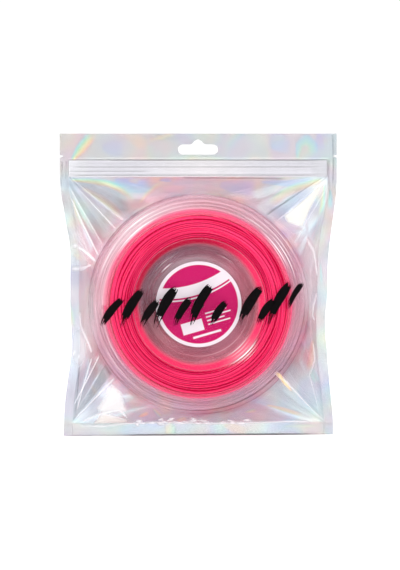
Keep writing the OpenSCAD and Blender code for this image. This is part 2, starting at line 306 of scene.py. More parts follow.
def holographic_material():
    """Silver that shifts slowly between pastel colours, under the painted bands, and darkened or lightened by
    the painted shade and light of the zones, facets and lines.
    """
    n = new_material("silver_film")
    p = n.place_mm()
    large = n.noise(p, 0.010, 2.0, 0.5, 0.8)
    edge = n.span(large, 0.40, 0.46) * n.fall(large, 0.58, 0.63)
    patch = n.span(n.noise(p, 0.03, 3.0), 0.42, 0.62, 0.05, 0.35)
    base = n.ramp(n.noise(p, 0.016), [(0.35, (0.68, 0.66, 0.74)), (0.5, (0.72, 0.70, 0.74)),
                                     (0.65, (0.73, 0.73, 0.73))])
    sheen = n.ramp(n.span(n.noise(p, 0.022, 1.0, 0.5, 0.6), 0.35, 0.65, kind="LINEAR"), PASTEL)
    rainbow_band = n.ramp(n.span(large, 0.42, 0.60, kind="LINEAR"), PASTEL)
    colour = n.mix(edge * patch, n.mix(0.16, base, sheen), rainbow_band)
    colour = n.mix(n.painted("tint", "Alpha"), colour, n.painted("tint"))
    colour = n.mix(1.0, colour, n.painted("cast"), "MULTIPLY")
    return n.finish(n.shader("BsdfPrincipled", Base_Color=colour, Metallic=0.35, Roughness=0.2,
                             Normal=n.bump(n.noise(p, 0.25), 0.12, 0.1)))


# Rings where the edges of the mouldings bend the light: radius, half-width, and strength,
# above 0 for a pale ring and below for a dark one
RINGS = [
    (90.2, 0.5, -0.4), (88.7, 0.5, 0.35), (87.4, 0.5, -0.3), (85.4, 0.9, 0.45), (83.4, 0.5, -0.3),
    (82.6, 0.5, 0.4), (81.5, 0.5, -0.3), (79.6, 0.7, 0.4), (47.4, 0.4, -0.2), (42.8, 0.4, 0.25),
    (41.6, 0.5, -0.2), (38.4, 0.35, 0.3), (36.4, 0.5, -0.4)]
# White reflections on the mouldings, and below 0 shaded ones: radius, half-width, azimuth and
# half-angle in degrees, strength
GLINTS = [
    (89, 3.2, 178, 18, -0.26), (89, 3.2, -179, 10, -0.26), (79.7, 1.2, 130, 20, 0.95),
    (84.8, 1, 150, 18, 0.45), (85.4, 1.1, 127, 17, 0.9), (88, 0.6, 128, 26, 0.5),
    (82.4, 0.7, 120, 24, 0.5), (78.3, 0.6, 135, 26, 0.5), (84.3, 6, 132, 42, 0.22),
    (78.5, 4.5, 178, 34, 0.12), (81.6, 0.6, 55, 16, 0.5), (79.3, 0.8, 36, 17, 0.85),
    (82.4, 0.7, 31, 20, 0.7), (77.4, 0.5, 33, 18, 0.5), (84.8, 0.6, 40, 24, 0.5),
    (88.2, 0.6, 40, 22, 0.4), (80, 0.5, -155, 20, 0.35), (84.5, 0.5, -145, 22, 0.35),
    (48.2, 0.8, -48, 20, 0.5), (50.6, 0.8, -48, 19, 0.5), (53.1, 0.8, -48, 18, 0.45),
    (55.8, 1, -47, 20, 1), (57.9, 0.7, -46, 15, 0.6), (60, 0.6, -45, 12, 0.3), (53.5, 7, -48, 26, 0.14),
    (40.6, 1, 131, 12, 0.7), (45.4, 0.5, 128, 18, 0.5), (44, 0.5, 60, 16, 0.3),
    (42.9, 0.8, -60, 60, 0.16), (37, 6.5, 105, 95, 0.15), (43.5, 5, 135, 50, 0.07),
    (41, 7, -150, 50, 0.09), (42, 7, 0, 35, 0.05), (39, 5.5, -60, 80, -0.35)]


def rings_and_glints(n, radius, azimuth):
    """Four shares: the pale rings, the dark ones, the white glints and the shaded ones."""
    pale, dark, white, shaded = 0.0, 0.0, 0.0, 0.0
    for at, half, amount in RINGS:
        ring = n.fall(abs(radius - at), 0.0, half) * abs(amount)
        if amount > 0:
            pale = pale + ring
        else:
            dark = dark + ring
    for at, half, where, spread, amount in GLINTS:
        glint = n.fall(abs(radius - at), 0.0, half) * n.fall(abs(azimuth - where), 0.0, spread, abs(amount))
        if amount > 0:
            white = n.math("MAXIMUM", white, glint)
        else:
            shaded = shaded + glint
    return pale, dark, white, shaded


def clear_plastic_material():
    n = new_material("clear_plastic")
    p = n.place_mm()
    x, up, radius = n.about_axis(p)
    azimuth = n.math("ARCTAN2", up, x) * (180 / math.pi)
    pale, dark, white, shaded = rings_and_glints(n, radius, azimuth)
    # Painted light falls from the upper left: 0 at the lower right, 1 at the upper left
    lit = n.span(up - x, -1.3 * REEL_R, 1.3 * REEL_R, kind="LINEAR")
    hub = n.fall(radius, DRUM_R - 1.5, DRUM_R)
    rim = n.span(radius, WOUND_R - 1, WOUND_R + 3)

    # What shows through the plastic is tinted, most in the hub and where a wall is seen edge-on.
    # Part of the tint is painted shade and light: it changes from the lit side to the other, and
    # darkens at the hub's left, in the dark rings and on edge-on walls.
    leftward = hub * n.fall(x / radius, -1.0, -0.4)
    in_hub = n.mix(lit, (1.0, 0.84, 0.89), (0.97, 0.70, 0.77))
    straight = n.mix(hub, n.mix(lit, (0.97, 0.92, 0.94), (1.0, 0.95, 0.97)), in_hub)
    straight = n.mix(leftward, straight, (0.90, 0.34, 0.46))
    straight = n.mix(dark, straight, (0.62, 0.50, 0.53))
    grazing = n.facing(1.6, 0.0, 1.0) * n.span(radius, 88.5, 90.3, 1.0, 0.35)
    edge_on = n.mix(n.span(abs(x / radius), 0.9, 1.0), (0.72, 0.58, 0.62), (0.60, 0.36, 0.42))
    clear = n.shader("BsdfTransparent", Color=n.mix(grazing, straight, edge_on))

    # Painted light: a haze in which the dish is lilac, pink from the string comes through the drum's
    # wall where it is lit, and the string's outer edge glows pink.
    wall = n.span(radius, lit * 1.6 + 46.0, lit * 2.2 + 50.6) * n.fall(radius, 54.0, 55.2)
    above = (up * 0.87 - x * 0.5) / radius
    dish = n.mix(n.span(lit, 0.35, 0.9), (1.0, 0.42, 0.53), (0.46, 0.40, 0.50))
    dish = n.mix(wall, dish, n.mix(n.span(above, 0.0, 0.9), (1.0, 0.05, 0.16), (0.58, 0.014, 0.06)))
    haze_and_glow = n.mix(n.span(radius, 60.0, 62.0), dish, n.mix(lit, (0.90, 0.52, 0.61), (1.0, 0.74, 0.81)))
    edges = n.span(radius, 72.5, 77.2) * n.fall(radius, 77.4, 80.5)
    glow = n.shader("BsdfDiffuse", Color=n.mix(edges, haze_and_glow, (1.0, 0.24, 0.40)))

    # Painted light: the flange is palest at its upper left, less at its upper right and lower left,
    # and the hub's haze is strongest at its lower right.
    upper_left = n.span((up * 0.6 - x * 0.8) / radius, 0.3, 1.0) * n.span(radius, 80.0, 88.0, 0.24, 0.10)
    across = (x + up) * 0.707 / radius
    others = n.span(across, 0.1, 0.8, 0.05, 0.155) + n.span(across, -1.0, -0.5, 0.035, 0.0)
    grooves = n.noise(n.make("CombineXYZ", {0: radius * 1.4, 1: azimuth * 0.02}), 1.0)
    pool = n.span(n.noise(p, 0.03, 1.0), 0.35, 0.65, 0.8, 1.2) * (lit * -0.20 + 0.34)
    amount = rim * (upper_left + others) * n.span(grooves, 0.3, 0.7, 0.65, 1.35)
    amount = amount + edges * (lit * 0.12 + 0.20) + hub * pool
    amount = n.math("MAXIMUM", amount, wall * (lit * -0.3 + 0.9))
    amount = n.math("MULTIPLY_ADD", pale, lit * 0.35 + 0.15, amount, clamp=True)

    veil = n.mix_shader(amount, clear, glow)
    veil = n.mix_shader(shaded, veil, n.shader("BsdfDiffuse", Color=(0.20, 0.07, 0.11)))
    veil = n.mix_shader(white, veil, n.shader("BsdfDiffuse", Color=(1.0, 0.98, 0.98)))
    normal = n.bump(n.noise(p, 0.2), 0.08, 0.1)
    gloss = n.shader("BsdfGlossy", Color=WHITE, Roughness=0.08, Normal=normal)
    return n.finish(n.mix_shader(n.facing(4.0, 0.001, 0.8), veil, gloss))


def string_material():
    """Each point of the string carries a painted shade, bright on the crowns and dark in the gaps between
    turns, fine streaks follow the turns, and a faint glow is painted light.
    """
    n = new_material("string_plastic")
    x, up, radius = n.about_axis(n.place_mm())
    along = n.make("CombineXYZ", {0: radius * 0.75, 1: n.math("ARCTAN2", up, x) * 0.8})
    streaks = n.noise(along, 1.0, 1.0) - 0.5
    at = streaks * 0.5 + n.painted("shade", "Fac")
    shade = n.ramp(at, [(0.20, (0.34, 0.003, 0.020)), (0.38, (0.66, 0.012, 0.07)),
                        (0.50, (0.82, 0.045, 0.15)), (0.80, (0.88, 0.12, 0.27))])
    return n.finish(n.shader("BsdfPrincipled", Base_Color=shade, Roughness=0.35, Specular_IOR_Level=0.05,
                             Emission_Color=(1.0, 0.01, 0.16),
                             Emission_Strength=n.span(at, 0.18, 0.45, 0.25, 0.31)))


def shaded_string_material():
    """The string of the layers below, painted darker than the outer turns as shade, with a faint painted
    glow.
    """
    n = new_material("string_plastic_shaded")
    shade = n.mix(n.noise(n.place_mm(), 0.2, 3.0), (0.40, 0.002, 0.035), (0.50, 0.003, 0.05))
    return n.finish(n.shader("BsdfPrincipled", Base_Color=shade, Roughness=0.5, Specular_IOR_Level=0.1,
                             Emission_Color=(1.0, 0.003, 0.09), Emission_Strength=0.28))


def zip_material():
    """Painted shade: it is whitest in the middle, greyer towards the seals and greyest at the right seal."""
    n = new_material("zip_plastic")
    p = n.place_mm()
    x, _, _ = n.axes(p)
    shade = n.mix(n.span(abs(x - 2.0), 0.0, 60.0), (0.94, 0.915, 0.93), (0.82, 0.81, 0.86))
    shade = n.mix(n.span(x, 90.0, 98.0), shade, (0.75, 0.75, 0.79))
    shade = n.mix(n.fall(x, -94.0, -88.0), shade, (0.87, 0.87, 0.90))
    body = n.shader("BsdfPrincipled", Base_Color=shade, Roughness=0.3, Specular_IOR_Level=0.2,
                    Normal=n.bump(n.noise(p, 0.3), 0.15, 0.1))
    return n.finish(n.mix_shader(0.8, n.shader("BsdfTransparent", Color=WHITE), body))


LABEL_TURN = math.radians(16)
# The plain rules on the label: their right end and their lower edge
RULES = [(21, -9.5), (24, -12.6), (18, -15.7), (22, -18.8)]


def label_material():
    """Magenta print with a pale border, a plain pale band, a blank panel and a few rules."""
    n = new_material("label_paper")
    p = n.place_mm()
    x, up, radius = n.about_axis(p)
    u = x * math.cos(LABEL_TURN) + up * math.sin(LABEL_TURN)
    v = up * math.cos(LABEL_TURN) - x * math.sin(LABEL_TURN)

    def box(u0, u1, v0, v1, soft=0.25):
        return n.within(u, u0, u1, soft) * n.within(v, v0, v1, soft)

    bow = v - u * u * 0.006
    marks = [n.within(bow, 7.9, 17.1, 0.3), n.within(bow, 5.2, 6.4, 0.2), box(-19, -1, -21.5, -12)]
    marks += [box(3, end, low, low + 1.1, 0.3) for end, low in RULES]
    marks.append(box(-12, 12, -26.6, -24.8, 0.35))
    printed = n.span(radius, 32.4, 32.8)
    for mark in marks:
        printed = n.math("MAXIMUM", printed, mark)
    magenta = n.mix(n.noise(p, 0.08), (0.55, 0.003, 0.11), (0.62, 0.005, 0.14))
    return n.finish(n.shader("BsdfPrincipled", Base_Color=n.mix(printed, magenta, (0.88, 0.80, 0.85)),
                             Roughness=0.5, Specular_IOR_Level=0.15,
                             Normal=n.bump(n.noise(p, 1.5), 0.1, 0.05)))


def ink_material():
    n = new_material("black_ink")
    p = n.place_mm()
    shade = n.mix(n.noise(p, 0.4, 3.0), (0.002, 0.002, 0.002), (0.008, 0.006, 0.007))
    return n.finish(n.shader("BsdfPrincipled", Base_Color=shade, Roughness=0.5, Specular_IOR_Level=0.02,
                             Normal=n.bump(n.noise(p, 0.8, 3.0), 0.2, 0.05)))


def floor_material():
    n = new_material("pale_floor")
    grain = n.mix(n.noise(n.place_mm(), 0.01), (0.95, 0.95, 0.95), (0.96, 0.96, 0.96))
    return n.finish(n.shader("BsdfPrincipled", Base_Color=grain, Roughness=0.6,
                             Emission_Color=WHITE, Emission_Strength=0.25))


# ------------------------------------------------------------------ pouch films

def drawn_in(z):
    """How far the pouch's sides draw in: most at the waist beside the reel."""
    def ease(u):
        return (1 + np.cos(np.pi * np.clip(u, 0, 1))) / 2

    above = WAIST_IN * ease((z - WAIST_HI) / (ZIP_BOTTOM - WAIST_HI))
    below = FOOT_IN + (WAIST_IN - FOOT_IN) * ease((WAIST_LO - z) / (WAIST_LO - BOTTOM_Z))
    return np.where(z > WAIST_HI, above, below)


def edge_x(z):
    """Half the pouch's width at a height."""
    return POUCH_W / 2 - drawn_in(z)


def zip_raise(x, z):
    """How far the film stands off the middle over the zip strips."""
    across = smooth((edge_x(z) - SIDE_SEAL + 0.2 - np.abs(x)) / 1.2)
    return ZIP_DEPTH * across * smooth(ZIP_TOP + 1.0 - z)


# Ridges in the films: where, half-width, height. The first are the closure's, which show
# through the film over z, and the others are embossed in the side seals, over the distance
# from the pouch's edge, and in the bottom seal, over z.
ZIP_RIDGES = [(ZIP_TOP - 0.5, 0.5, 0.16), (CLOSURE_Z + 1.9, 0.5, 0.22), (CLOSURE_Z - 1.9, 0.5, 0.2),
              (GUIDE_Z, 0.45, 0.16), (ZIP_BOTTOM + 0.5, 0.4, 0.1)]
SIDE_RIDGES = [(SIDE_SEAL - 0.4, 0.5, 0.14), (4.4, 0.4, 0.1), (3.2, 0.35, 0.06)]
FOOT_RIDGES = [(SEAL_Z - 0.8, 0.6, 0.12), (BOTTOM_Z + 4.6, 1.2, 0.05)]


def ridges(value, table):
    return sum(high * bump(value, at, half) for at, half, high in table)


def frame_wave(x, z):
    """A slow wave that both films share where they are welded together, clear of the zip."""
    inset = edge_x(z) - np.abs(x)
    side = smooth((SIDE_SEAL - inset) / SIDE_SEAL) * smooth((ZIP_BOTTOM - 4 - z) / 10)
    foot = smooth((SEAL_Z - z) / BOTTOM_SEAL)
    return 0.25 * waves(x * 0.4, z, 11, 60) * side * (1 - foot)


def frame_depth(x, z):
    """How far a film stands off the middle in the header, the zip and the seals."""
    inset = edge_x(z) - np.abs(x)
    in_zip = smooth(inset - SIDE_SEAL)
    seals = ridges(inset, SIDE_RIDGES) * smooth((z - BOTTOM_Z) / 8) + ridges(z, FOOT_RIDGES)
    return 0.02 + zip_raise(x, z) + ridges(z, ZIP_RIDGES) * in_zip + seals * (1 - in_zip)


def square_direction(theta):
    """Where on a square a fold ends: most folds run to its corners."""
    quarter = math.pi / 2
    corner = (np.floor(theta / quarter) + 0.5) * quarter
    u = (theta - corner) / (quarter / 2)
    a = corner + (0.93 * u ** 3 + 0.07 * u) * quarter / 2
    s = np.stack([np.cos(a), np.sin(a)], -1)
    return s / np.abs(s).max(-1, keepdims=True)


def seal_corner_line(theta):
    """Points [x, z] of the inner line of the seals, one for each fold."""
    s = square_direction(theta)
    high, low = ZIP_BOTTOM - REEL_Z, REEL_Z - SEAL_Z
    z = REEL_Z + s[:, 1] * np.where(s[:, 1] > 0, high, low)
    z = np.where(s[:, 1] > 1 - 1e-6, ZIP_BOTTOM, z)
    z = np.where(s[:, 1] < -1 + 1e-6, SEAL_Z, z)
    return s[:, 0] * (edge_x(z) - SIDE_SEAL), z


# Main creases of the films: the angle where each meets the reel's rim in degrees, how far it
# stands out at its highest in the front and the back film in millimetres, and how much of a
# painted line it shows, above 0 for a white highlight and below for a dark shade line. Straight slopes join
# them.
CREASES = [
    (-90, 0, 0, 0), (-84, 0.4, -0.4, 0), (-78, -0.4, 0.4, 0), (-70, 0.6, -0.5, 0.1), (-62, -0.5, 0.5, 0),
    (-54, 0.5, -0.4, 0), (-47, -0.6, 0.5, 0), (-41.3, 1.6, -1, 1), (-36, -0.6, 0.5, 0),
    (-27, 0.6, -0.5, 0.1), (-18, -0.7, 0.6, 0), (-9, 0.5, -0.4, 0), (3, -0.5, 0.5, 0), (13, 0.8, -0.7, 0),
    (22, -0.8, 0.8, 0.2), (32, 1.2, -0.9, 0.5), (47, 1.2, -0.9, 0.4), (53.5, -0.9, 1, -0.9),
    (57, -0.5, 0.6, 0), (63, 0.4, -0.4, 0), (74, -0.3, 0.4, 0), (82, 0.3, -0.3, 0), (90, -0.2, 0.3, 0),
    (99, 0.3, -0.3, 0), (108, -0.4, 0.4, 0), (121, 0.9, -0.6, 0.1), (130, -0.5, 0.4, 0),
    (131.8, 1, -0.6, 0.7), (134.5, -0.4, 0.3, 0), (137.8, 1, -0.6, 0.6), (143.5, -0.8, 0.6, 0),
    (148.8, 1.1, -0.8, 0.5), (151.5, 0.1, 0, 0), (154.5, 1.2, -0.9, 1), (157, -0.6, 0.4, 0),
    (160.5, 0.9, -0.6, 0.3), (164, 0.2, 0, 0.2), (168, -0.9, 0.6, 0), (178, 0.5, -0.4, 0),
    (190, -0.6, 0.5, 0), (198, 0.4, -0.3, 0), (206.3, 1.2, -0.9, 0.7), (213, -1.2, 0.8, 0),
    (220.6, 0.9, -0.8, 1), (233, 0.9, -0.8, 0.4), (238, -0.7, 0.6, 0), (245, 0.7, -0.5, 0.2),
    (250, -0.4, 0.4, 0), (255, 0.4, -0.4, 0), (260, -0.4, 0.4, 0), (265, 0.3, -0.3, 0), (270, 0, 0, 0)]
# Facets between creases painted darker or lighter than the rest, as shade and reflection: from, to, how much
FACETS = [
    (-41, -36, -0.1), (-36, -18, -0.18), (-53, -42, -0.08), (-70, -54, -0.05), (33, 46.5, 0.2),
    (115, 131, -0.18), (132.5, 137.3, -0.12), (138.3, 148.3, -0.16), (149.3, 154, -0.08),
    (155.5, 160, 0.1), (200, 206, -0.12), (207, 213, -0.25), (213, 220, -0.44), (221, 223.5, -0.05),
    (223.5, 232.5, 0.2)]
# Pinches at the reel's rim, from which short creases fan out: x, z, reach, height, spokes, turn
PINCHES = [
    (-86.5, -91, 13, 0.6, 7, 0.2), (-89.5, -169, 13, 0.6, 6, 0.6), (92, -69.8, 8, 0.5, 7, 0.4),
    (96, -112, 10, 0.5, 6, 0.1), (94, -145, 11, 0.5, 5, 0.7), (-93, -122, 10, 0.4, 5, 0.3)]


def pinch_height(x, z, offset):
    """Saw-toothed creases that fan out from the pinches and fade away from them."""
    total = 0.0
    for px, pz, reach, high, spokes, turn in PINCHES:
        d = np.hypot(x - px, z - pz)
        around = np.arctan2(z - pz, x - px) / (2 * math.pi) * spokes + turn + offset
        saw = np.abs((around % 1.0) * 2 - 1) * 2 - 1
        total = total + high * saw * smooth(d / (0.6 * reach)) * smooth((2.2 * reach - d) / (1.4 * reach))
    return total


def turn_of(theta):
    """An angle in degrees, from -90 up to 270, as in CREASES."""
    return (np.degrees(theta) + 90) % 360 - 90


def crease_height(theta, side):
    """How far the creases stand out at their highest, round the reel."""
    at = np.array([c[0] for c in CREASES], float)
    high = np.array([c[1 if side < 0 else 2] for c in CREASES], float)
    return np.interp(turn_of(theta), at, high)


DIP = 0.12                # how far a film lies under the rim where it spans the reel


def sag(x, z, seed):
    """The slow waves of a film over the reel."""
    return 0.12 * waves(x, z, seed, 70) * smooth((REEL_R - np.hypot(x, z - REEL_Z)) / 12)


def tent_rings(theta, side, seed):
    """Rings of the film's inner face, [x, depth, z], from its centre out to the seals."""
    rings = []
    for r in np.linspace(4, REEL_R - RIM_ROUND - 1.5, 20):
        x, z = r * np.cos(theta), REEL_Z + r * np.sin(theta)
        rings.append(np.stack([x, TENT_Y - DIP + sag(x, z, seed), z], -1))
    for out, down in ((-1.2, 0), (-0.5, 0.01), (0.1, 0.1), (0.6, 0.3)):
        r = REEL_R + out
        rings.append(np.stack([r * np.cos(theta), np.full_like(theta, TENT_Y - down),
                               REEL_Z + r * np.sin(theta)], -1))
    rim = rings.pop()
    x, z = seal_corner_line(theta)
    foot = np.stack([x, frame_depth(x, z), z], -1)
    crease = crease_height(theta, side)
    length = np.linalg.norm(foot - rim, axis=1)
    for k in np.linspace(0, 1, TENT_RINGS):
        points = rim * (1 - k) + foot * k
        rise = smooth(k / 0.3) * (1 - k) ** 0.8 * 1.35
        room = np.clip(length / 45, 0.25, 1.0)
        ripple = 0.06 * waves(points[:, 0], points[:, 2], seed + 5, 26) * math.sin(math.pi * k)
        pinch = pinch_height(points[:, 0], points[:, 2], seed * 0.37) * smooth(k / 0.2) * (1 - k) ** 0.5
        points[:, 1] += crease * rise * room + pinch + ripple
        rings.append(points)
    return rings


def grid_faces(rows, cols, closed, start=0):
    """Faces between rows of points, which close to rings or don't."""
    faces = []
    last = cols if closed else cols - 1
    for j in range(rows - 1):
        a, b = start + j * cols, start + (j + 1) * cols
        faces += [(a + i, b + i, b + (i + 1) % cols, a + (i + 1) % cols) for i in range(last)]
    return faces


# How far the pouch's edges stand outside the CAD's even outline: z, left, right
EDGES = [
    (-237, 0, 1), (-226, 0, 1.4), (-206, 0.8, 1.6), (-186, 0.8, 2.3), (-166, -0.5, 2.3),
    (-153, -0.4, 0.9), (-136, 0.6, 0.9), (-126, 0.8, 2.3), (-100, 0.6, 2.7), (-86, 0.1, 3.3),
    (-73, 0, 3.2), (-60, 0, 2.4), (-47, -0.6, 1.7), (-33, -0.4, 1), (-14, 0, 1.1), (13, 0, 0.9)]


def edge_out(side, z):
    """How far the pouch's edge stands outside the CAD's at a height."""
    return np.interp(z, [e[0] for e in EDGES], [e[1 if side < 0 else 2] for e in EDGES])


def stretch_sides(points):
    """Moves a film's sides to the pouch's own outline, and leaves what lies over the reel."""
    x, z = points[:, 0], points[:, 2]
    for side in (-1, 1):
        share = smooth((side * x - REEL_R) / (edge_x(z) - REEL_R - 1))
        x += side * share * edge_out(side, z)


def film_sheet(side, seed):
    """One face of a film as points [x, depth, z] and faces: polar over the reel, square at the
    seals. The last result says which fold each point is on and how far out, from 0 to 1."""
    theta = 2 * math.pi * np.arange(FOLDS) / FOLDS - math.pi / 4
    rings = tent_rings(theta, side, seed)
    on_disc = len(rings) - TENT_RINGS
    out_by = np.concatenate([np.full(on_disc, -1.0), np.linspace(0, 1, TENT_RINGS)])
    points = [np.concatenate(rings), np.array([[0, rings[0][:, 1].mean(), REEL_Z]])]
    faces = grid_faces(len(rings), FOLDS, True)
    hub = len(rings) * FOLDS
    faces += [(hub, i, (i + 1) % FOLDS) for i in range(FOLDS)]

    def block(x, z):
        start = sum(len(p) for p in points)
        depth = frame_depth(x, z)
        points.append(np.stack([x.ravel(), depth.ravel(), z.ravel()], -1))
        faces.extend(grid_faces(x.shape[0], x.shape[1], False, start))

    quarter = FOLDS // 4
    foot = rings[-1]
    ring = np.concatenate([foot, foot[:1]])
    right, top, left, bottom = (ring[q * quarter:(q + 1) * quarter + 1] for q in range(4))
    # Rows and columns are closest where the seals and the zip are embossed.
    out = np.array([0, 0.3, 0.6, 1, 1.8, 2.3, 2.6, 2.9, 3.4, 3.8, 4.2, 5.2, 6.2, SIDE_SEAL])
    up = np.concatenate([ZIP_BOTTOM + np.arange(0, ZIP_TOP - ZIP_BOTTOM, 0.34),
                         ZIP_TOP + np.array([0, 0.3, 0.6, 1]), np.linspace(ZIP_TOP + 2.5, TOP_Z, 10)])
    down = SEAL_Z - np.array([0, 0.3, 0.6, 0.9, 1.2, 1.6, 2.4, 3.6, 4.6, 5.4, 6.2, 7.4, 8.6, 9.2, 9.6,
                              9.9, 10.15, BOTTOM_SEAL])

    def inner(z):
        return edge_x(z) - SIDE_SEAL

    # Columns of the top and bottom blocks keep their share of the width.
    share_top = top[:, 0] / inner(np.array(ZIP_BOTTOM))
    block(share_top[None, :] * inner(up)[:, None], np.repeat(up[:, None], len(top), 1))
    share_low = bottom[:, 0] / inner(np.array(SEAL_Z))
    block(share_low[None, :] * inner(down)[:, None], np.repeat(down[:, None], len(bottom), 1))
    for side, line in ((1, right), (-1, left)):
        z = line[:, 2]
        block(side * (inner(z)[None, :] + out[:, None]), np.repeat(z[None, :], len(out), 0))
        for rows in (up, down):
            block(side * (inner(rows)[:, None] + out[None, :]), np.repeat(rows[:, None], len(out), 1))
    points = np.concatenate(points)
    fan = np.full((len(points), 2), 2.0)
    fan[:hub, 0] = np.tile(turn_of(theta), len(rings))
    fan[:hub, 1] = np.repeat(out_by, FOLDS)
    stretch_sides(points)
    return points, faces, fan


# ------------------------------------------------------------------ marks on the films

# Iridescent bands on the silver film: a path of points [x, z], width, strength, and the colours
# along its left and right edges as places in PASTEL
BANDS = [
    ([(-104, -9), (-95, 3), (-86, 14)], 11, 1, 0.16, 0.95),
    ([(-41, 7), (-31, 10), (-17, 14)], 6, 0.5, 0.85, 0.5),
    ([(82, -8), (84, 4), (90, 9), (95, 4), (97, -8)], 10, 0.65, 0.15, 0.5),
    ([(100, 14), (102, -2)], 9, 0.5, 0, 0.1), ([(60, 4), (78, 2)], 14, 0.35, 0.1, 0.2),
    ([(-80, 2), (-60, 0)], 16, 0.35, 0.05, 0.15), ([(-60, 12), (-40, 2)], 12, 0.3, 0.72, 0.8),
    ([(-106, -25), (-90, -26), (-75, -28), (-65, -32), (-57, -37.5), (-51, -45)], 7, 1, 0.28, 0.92),
    ([(-70, -25.5), (-56, -29), (-48, -31), (-35, -27)], 15, 0.75, 0.05, 0.34),
    ([(-57, -25.5), (-48, -27)], 5, 0.9, 0.62, 0.85),
    ([(-48, -45), (-43, -38), (-35, -31), (-27, -27)], 6, 0.7, 0.45, 0.9),
    ([(-32, -25), (-20, -25)], 5, 0.7, 0.03, 0.2), ([(-30, -31), (-8, -34)], 8, 0.4, 0.8, 0.95),
    ([(18, -29), (52, -33)], 16, 0.45, 0, 0.08), ([(52, -27), (75, -28), (100, -25)], 7, 0.6, 0.12, 0.25),
    ([(-96, -31), (-81, -39.5), (-70, -47), (-59.7, -60)], 8, 0.75, 0.95, 0.62),
    ([(103, -25), (85, -31), (73, -36), (65, -42), (57, -50)], 10, 0.85, 0.92, 0.42),
    ([(105, -29), (104, -46), (101, -56)], 4, 0.8, 0.25, 0.7),
    ([(110, -33), (110, -50)], 5, 0.7, 0.2, 0.4),
    ([(96, -158), (95, -174), (92, -186)], 6, 0.8, 0.62, 0.95),
    ([(95, -181), (100, -195)], 7, 0.8, 0.28, 0.4), ([(102, -94), (103, -114)], 3, 0.7, 0.25, 0.4),
    ([(72, -74), (79, -86)], 6, 0.6, 0.72, 0.95), ([(92, -166), (90, -182)], 6, 0.4, 0.9, 1),
    ([(58, -213), (72, -216.5), (90, -222)], 4, 0.8, 0.9, 0.68),
    ([(-49, -222), (-40, -219)], 3.5, 0.8, 0.55, 0.9), ([(-37, -216), (-30, -223)], 4, 0.8, 0.65, 0.2),
    ([(-18, -225), (-8, -224)], 4, 0.7, 0.6, 0.85), ([(40, -219), (50, -217)], 4, 0.6, 0.3, 0.8),
    ([(-23, -226), (-23, -238)], 12, 0.5, 0.32, 0.85), ([(72, -230), (103, -230)], 3, 0.5, 0.42, 0.65),
    ([(20, -228), (42, -235)], 9, 0.4, 0.7, 0.8), ([(-107, -126), (-104, -148)], 8, 0.6, 0.3, 0.9),
    ([(-103, -40), (-99, -58)], 4, 0.5, 0.5, 0.8), ([(-103, -86), (-94, -92)], 6, 0.5, 0.5, 0.9),
    ([(-88, -196), (-84, -204)], 5, 0.4, 0.7, 0.85)]
# The same on the front film
FRONT_BANDS = [([(77, -200), (68, -188.5), (63.5, -182.3)], 3.4, 0.9, 0.7, 0.8)]
# Sharp lines painted on the front film, white ones as highlights on creases and seals and dark ones as shade
# in grooves, at the zip and along the bottom edge: a path, width, and strength, above 0 for a white line
LINES = [
    ([(88.7, -72.3), (95.3, -84), (97.8, -96.4), (99.2, -104.7)], 1.4, 0.8),
    ([(99.2, -118), (95.3, -128.7), (94.5, -137), (97.8, -145.3)], 1.3, 0.6),
    ([(94.5, -157.7), (97, -174.3), (92, -186.7), (102, -221.5)], 1.1, 0.4),
    ([(-105.3, -77.3), (-94.5, -83), (-84.6, -92.2)], 2.2, 1),
    ([(-97.8, -135.3), (-97.4, -145.3), (-92.8, -155.2), (-87.9, -167.7)], 1.5, 0.7),
    ([(-104.5, -98.6), (-95.3, -98), (-87.9, -93.9)], 1.2, 0.7),
    ([(-88.3, -171), (-95.3, -195), (-101, -217.4)], 1.1, 0.6),
    ([(-97.8, -172), (-99.5, -195), (-102, -220)], 1.1, -0.4),
    ([(-103.5, -168), (-99.5, -169.5), (-97, -172.5)], 1.1, 0.6),
    ([(-96, -225), (-83, -218.2), (-65.5, -215), (-58, -222.4)], 1.3, 0.8),
    ([(-83, -218.2), (-71.3, -220), (-58, -224)], 1.1, 0.7),
    ([(-102, -228.3), (-80, -229), (-58, -226.8), (-30, -225.8), (10, -227.4), (80, -225.8),
      (104, -227)], 1.8, 0.8),
    ([(-106, -22.2), (20, -22)], 0.9, 0.6), ([(-75, -8.8), (-30, -8.9), (107.5, -9.3)], 0.8, -0.45),
    ([(-107.5, -8.8), (-60, -8.8)], 0.7, -0.15), ([(-14, -23.4), (48, -23.8), (74, -24.2)], 1.1, -0.5),
    ([(-107, -14.4), (107, -14.4)], 0.9, -0.42), ([(-107, -17.9), (-40, -17.9)], 0.9, -0.35),
    ([(-107, -21.1), (107, -21.1)], 1, -0.4), ([(-107, -11.4), (107, -11.4)], 4, -0.06),
    ([(-112, -236.9), (112, -236.9)], 1.4, -0.6),
    ([(-60, -236.9), (30, -236.9), (95, -236.9)], 1.4, -1.2), ([(-109, -9), (-109.3, -24)], 1.2, -0.2),
    ([(-112.4, -10), (-112.8, -30)], 1, -0.3), ([(108.6, -8), (108.6, -24), (109.6, -40)], 1.2, -0.25),
    ([(111.8, 12), (112.4, -12), (112, -30)], 1, -0.3)]


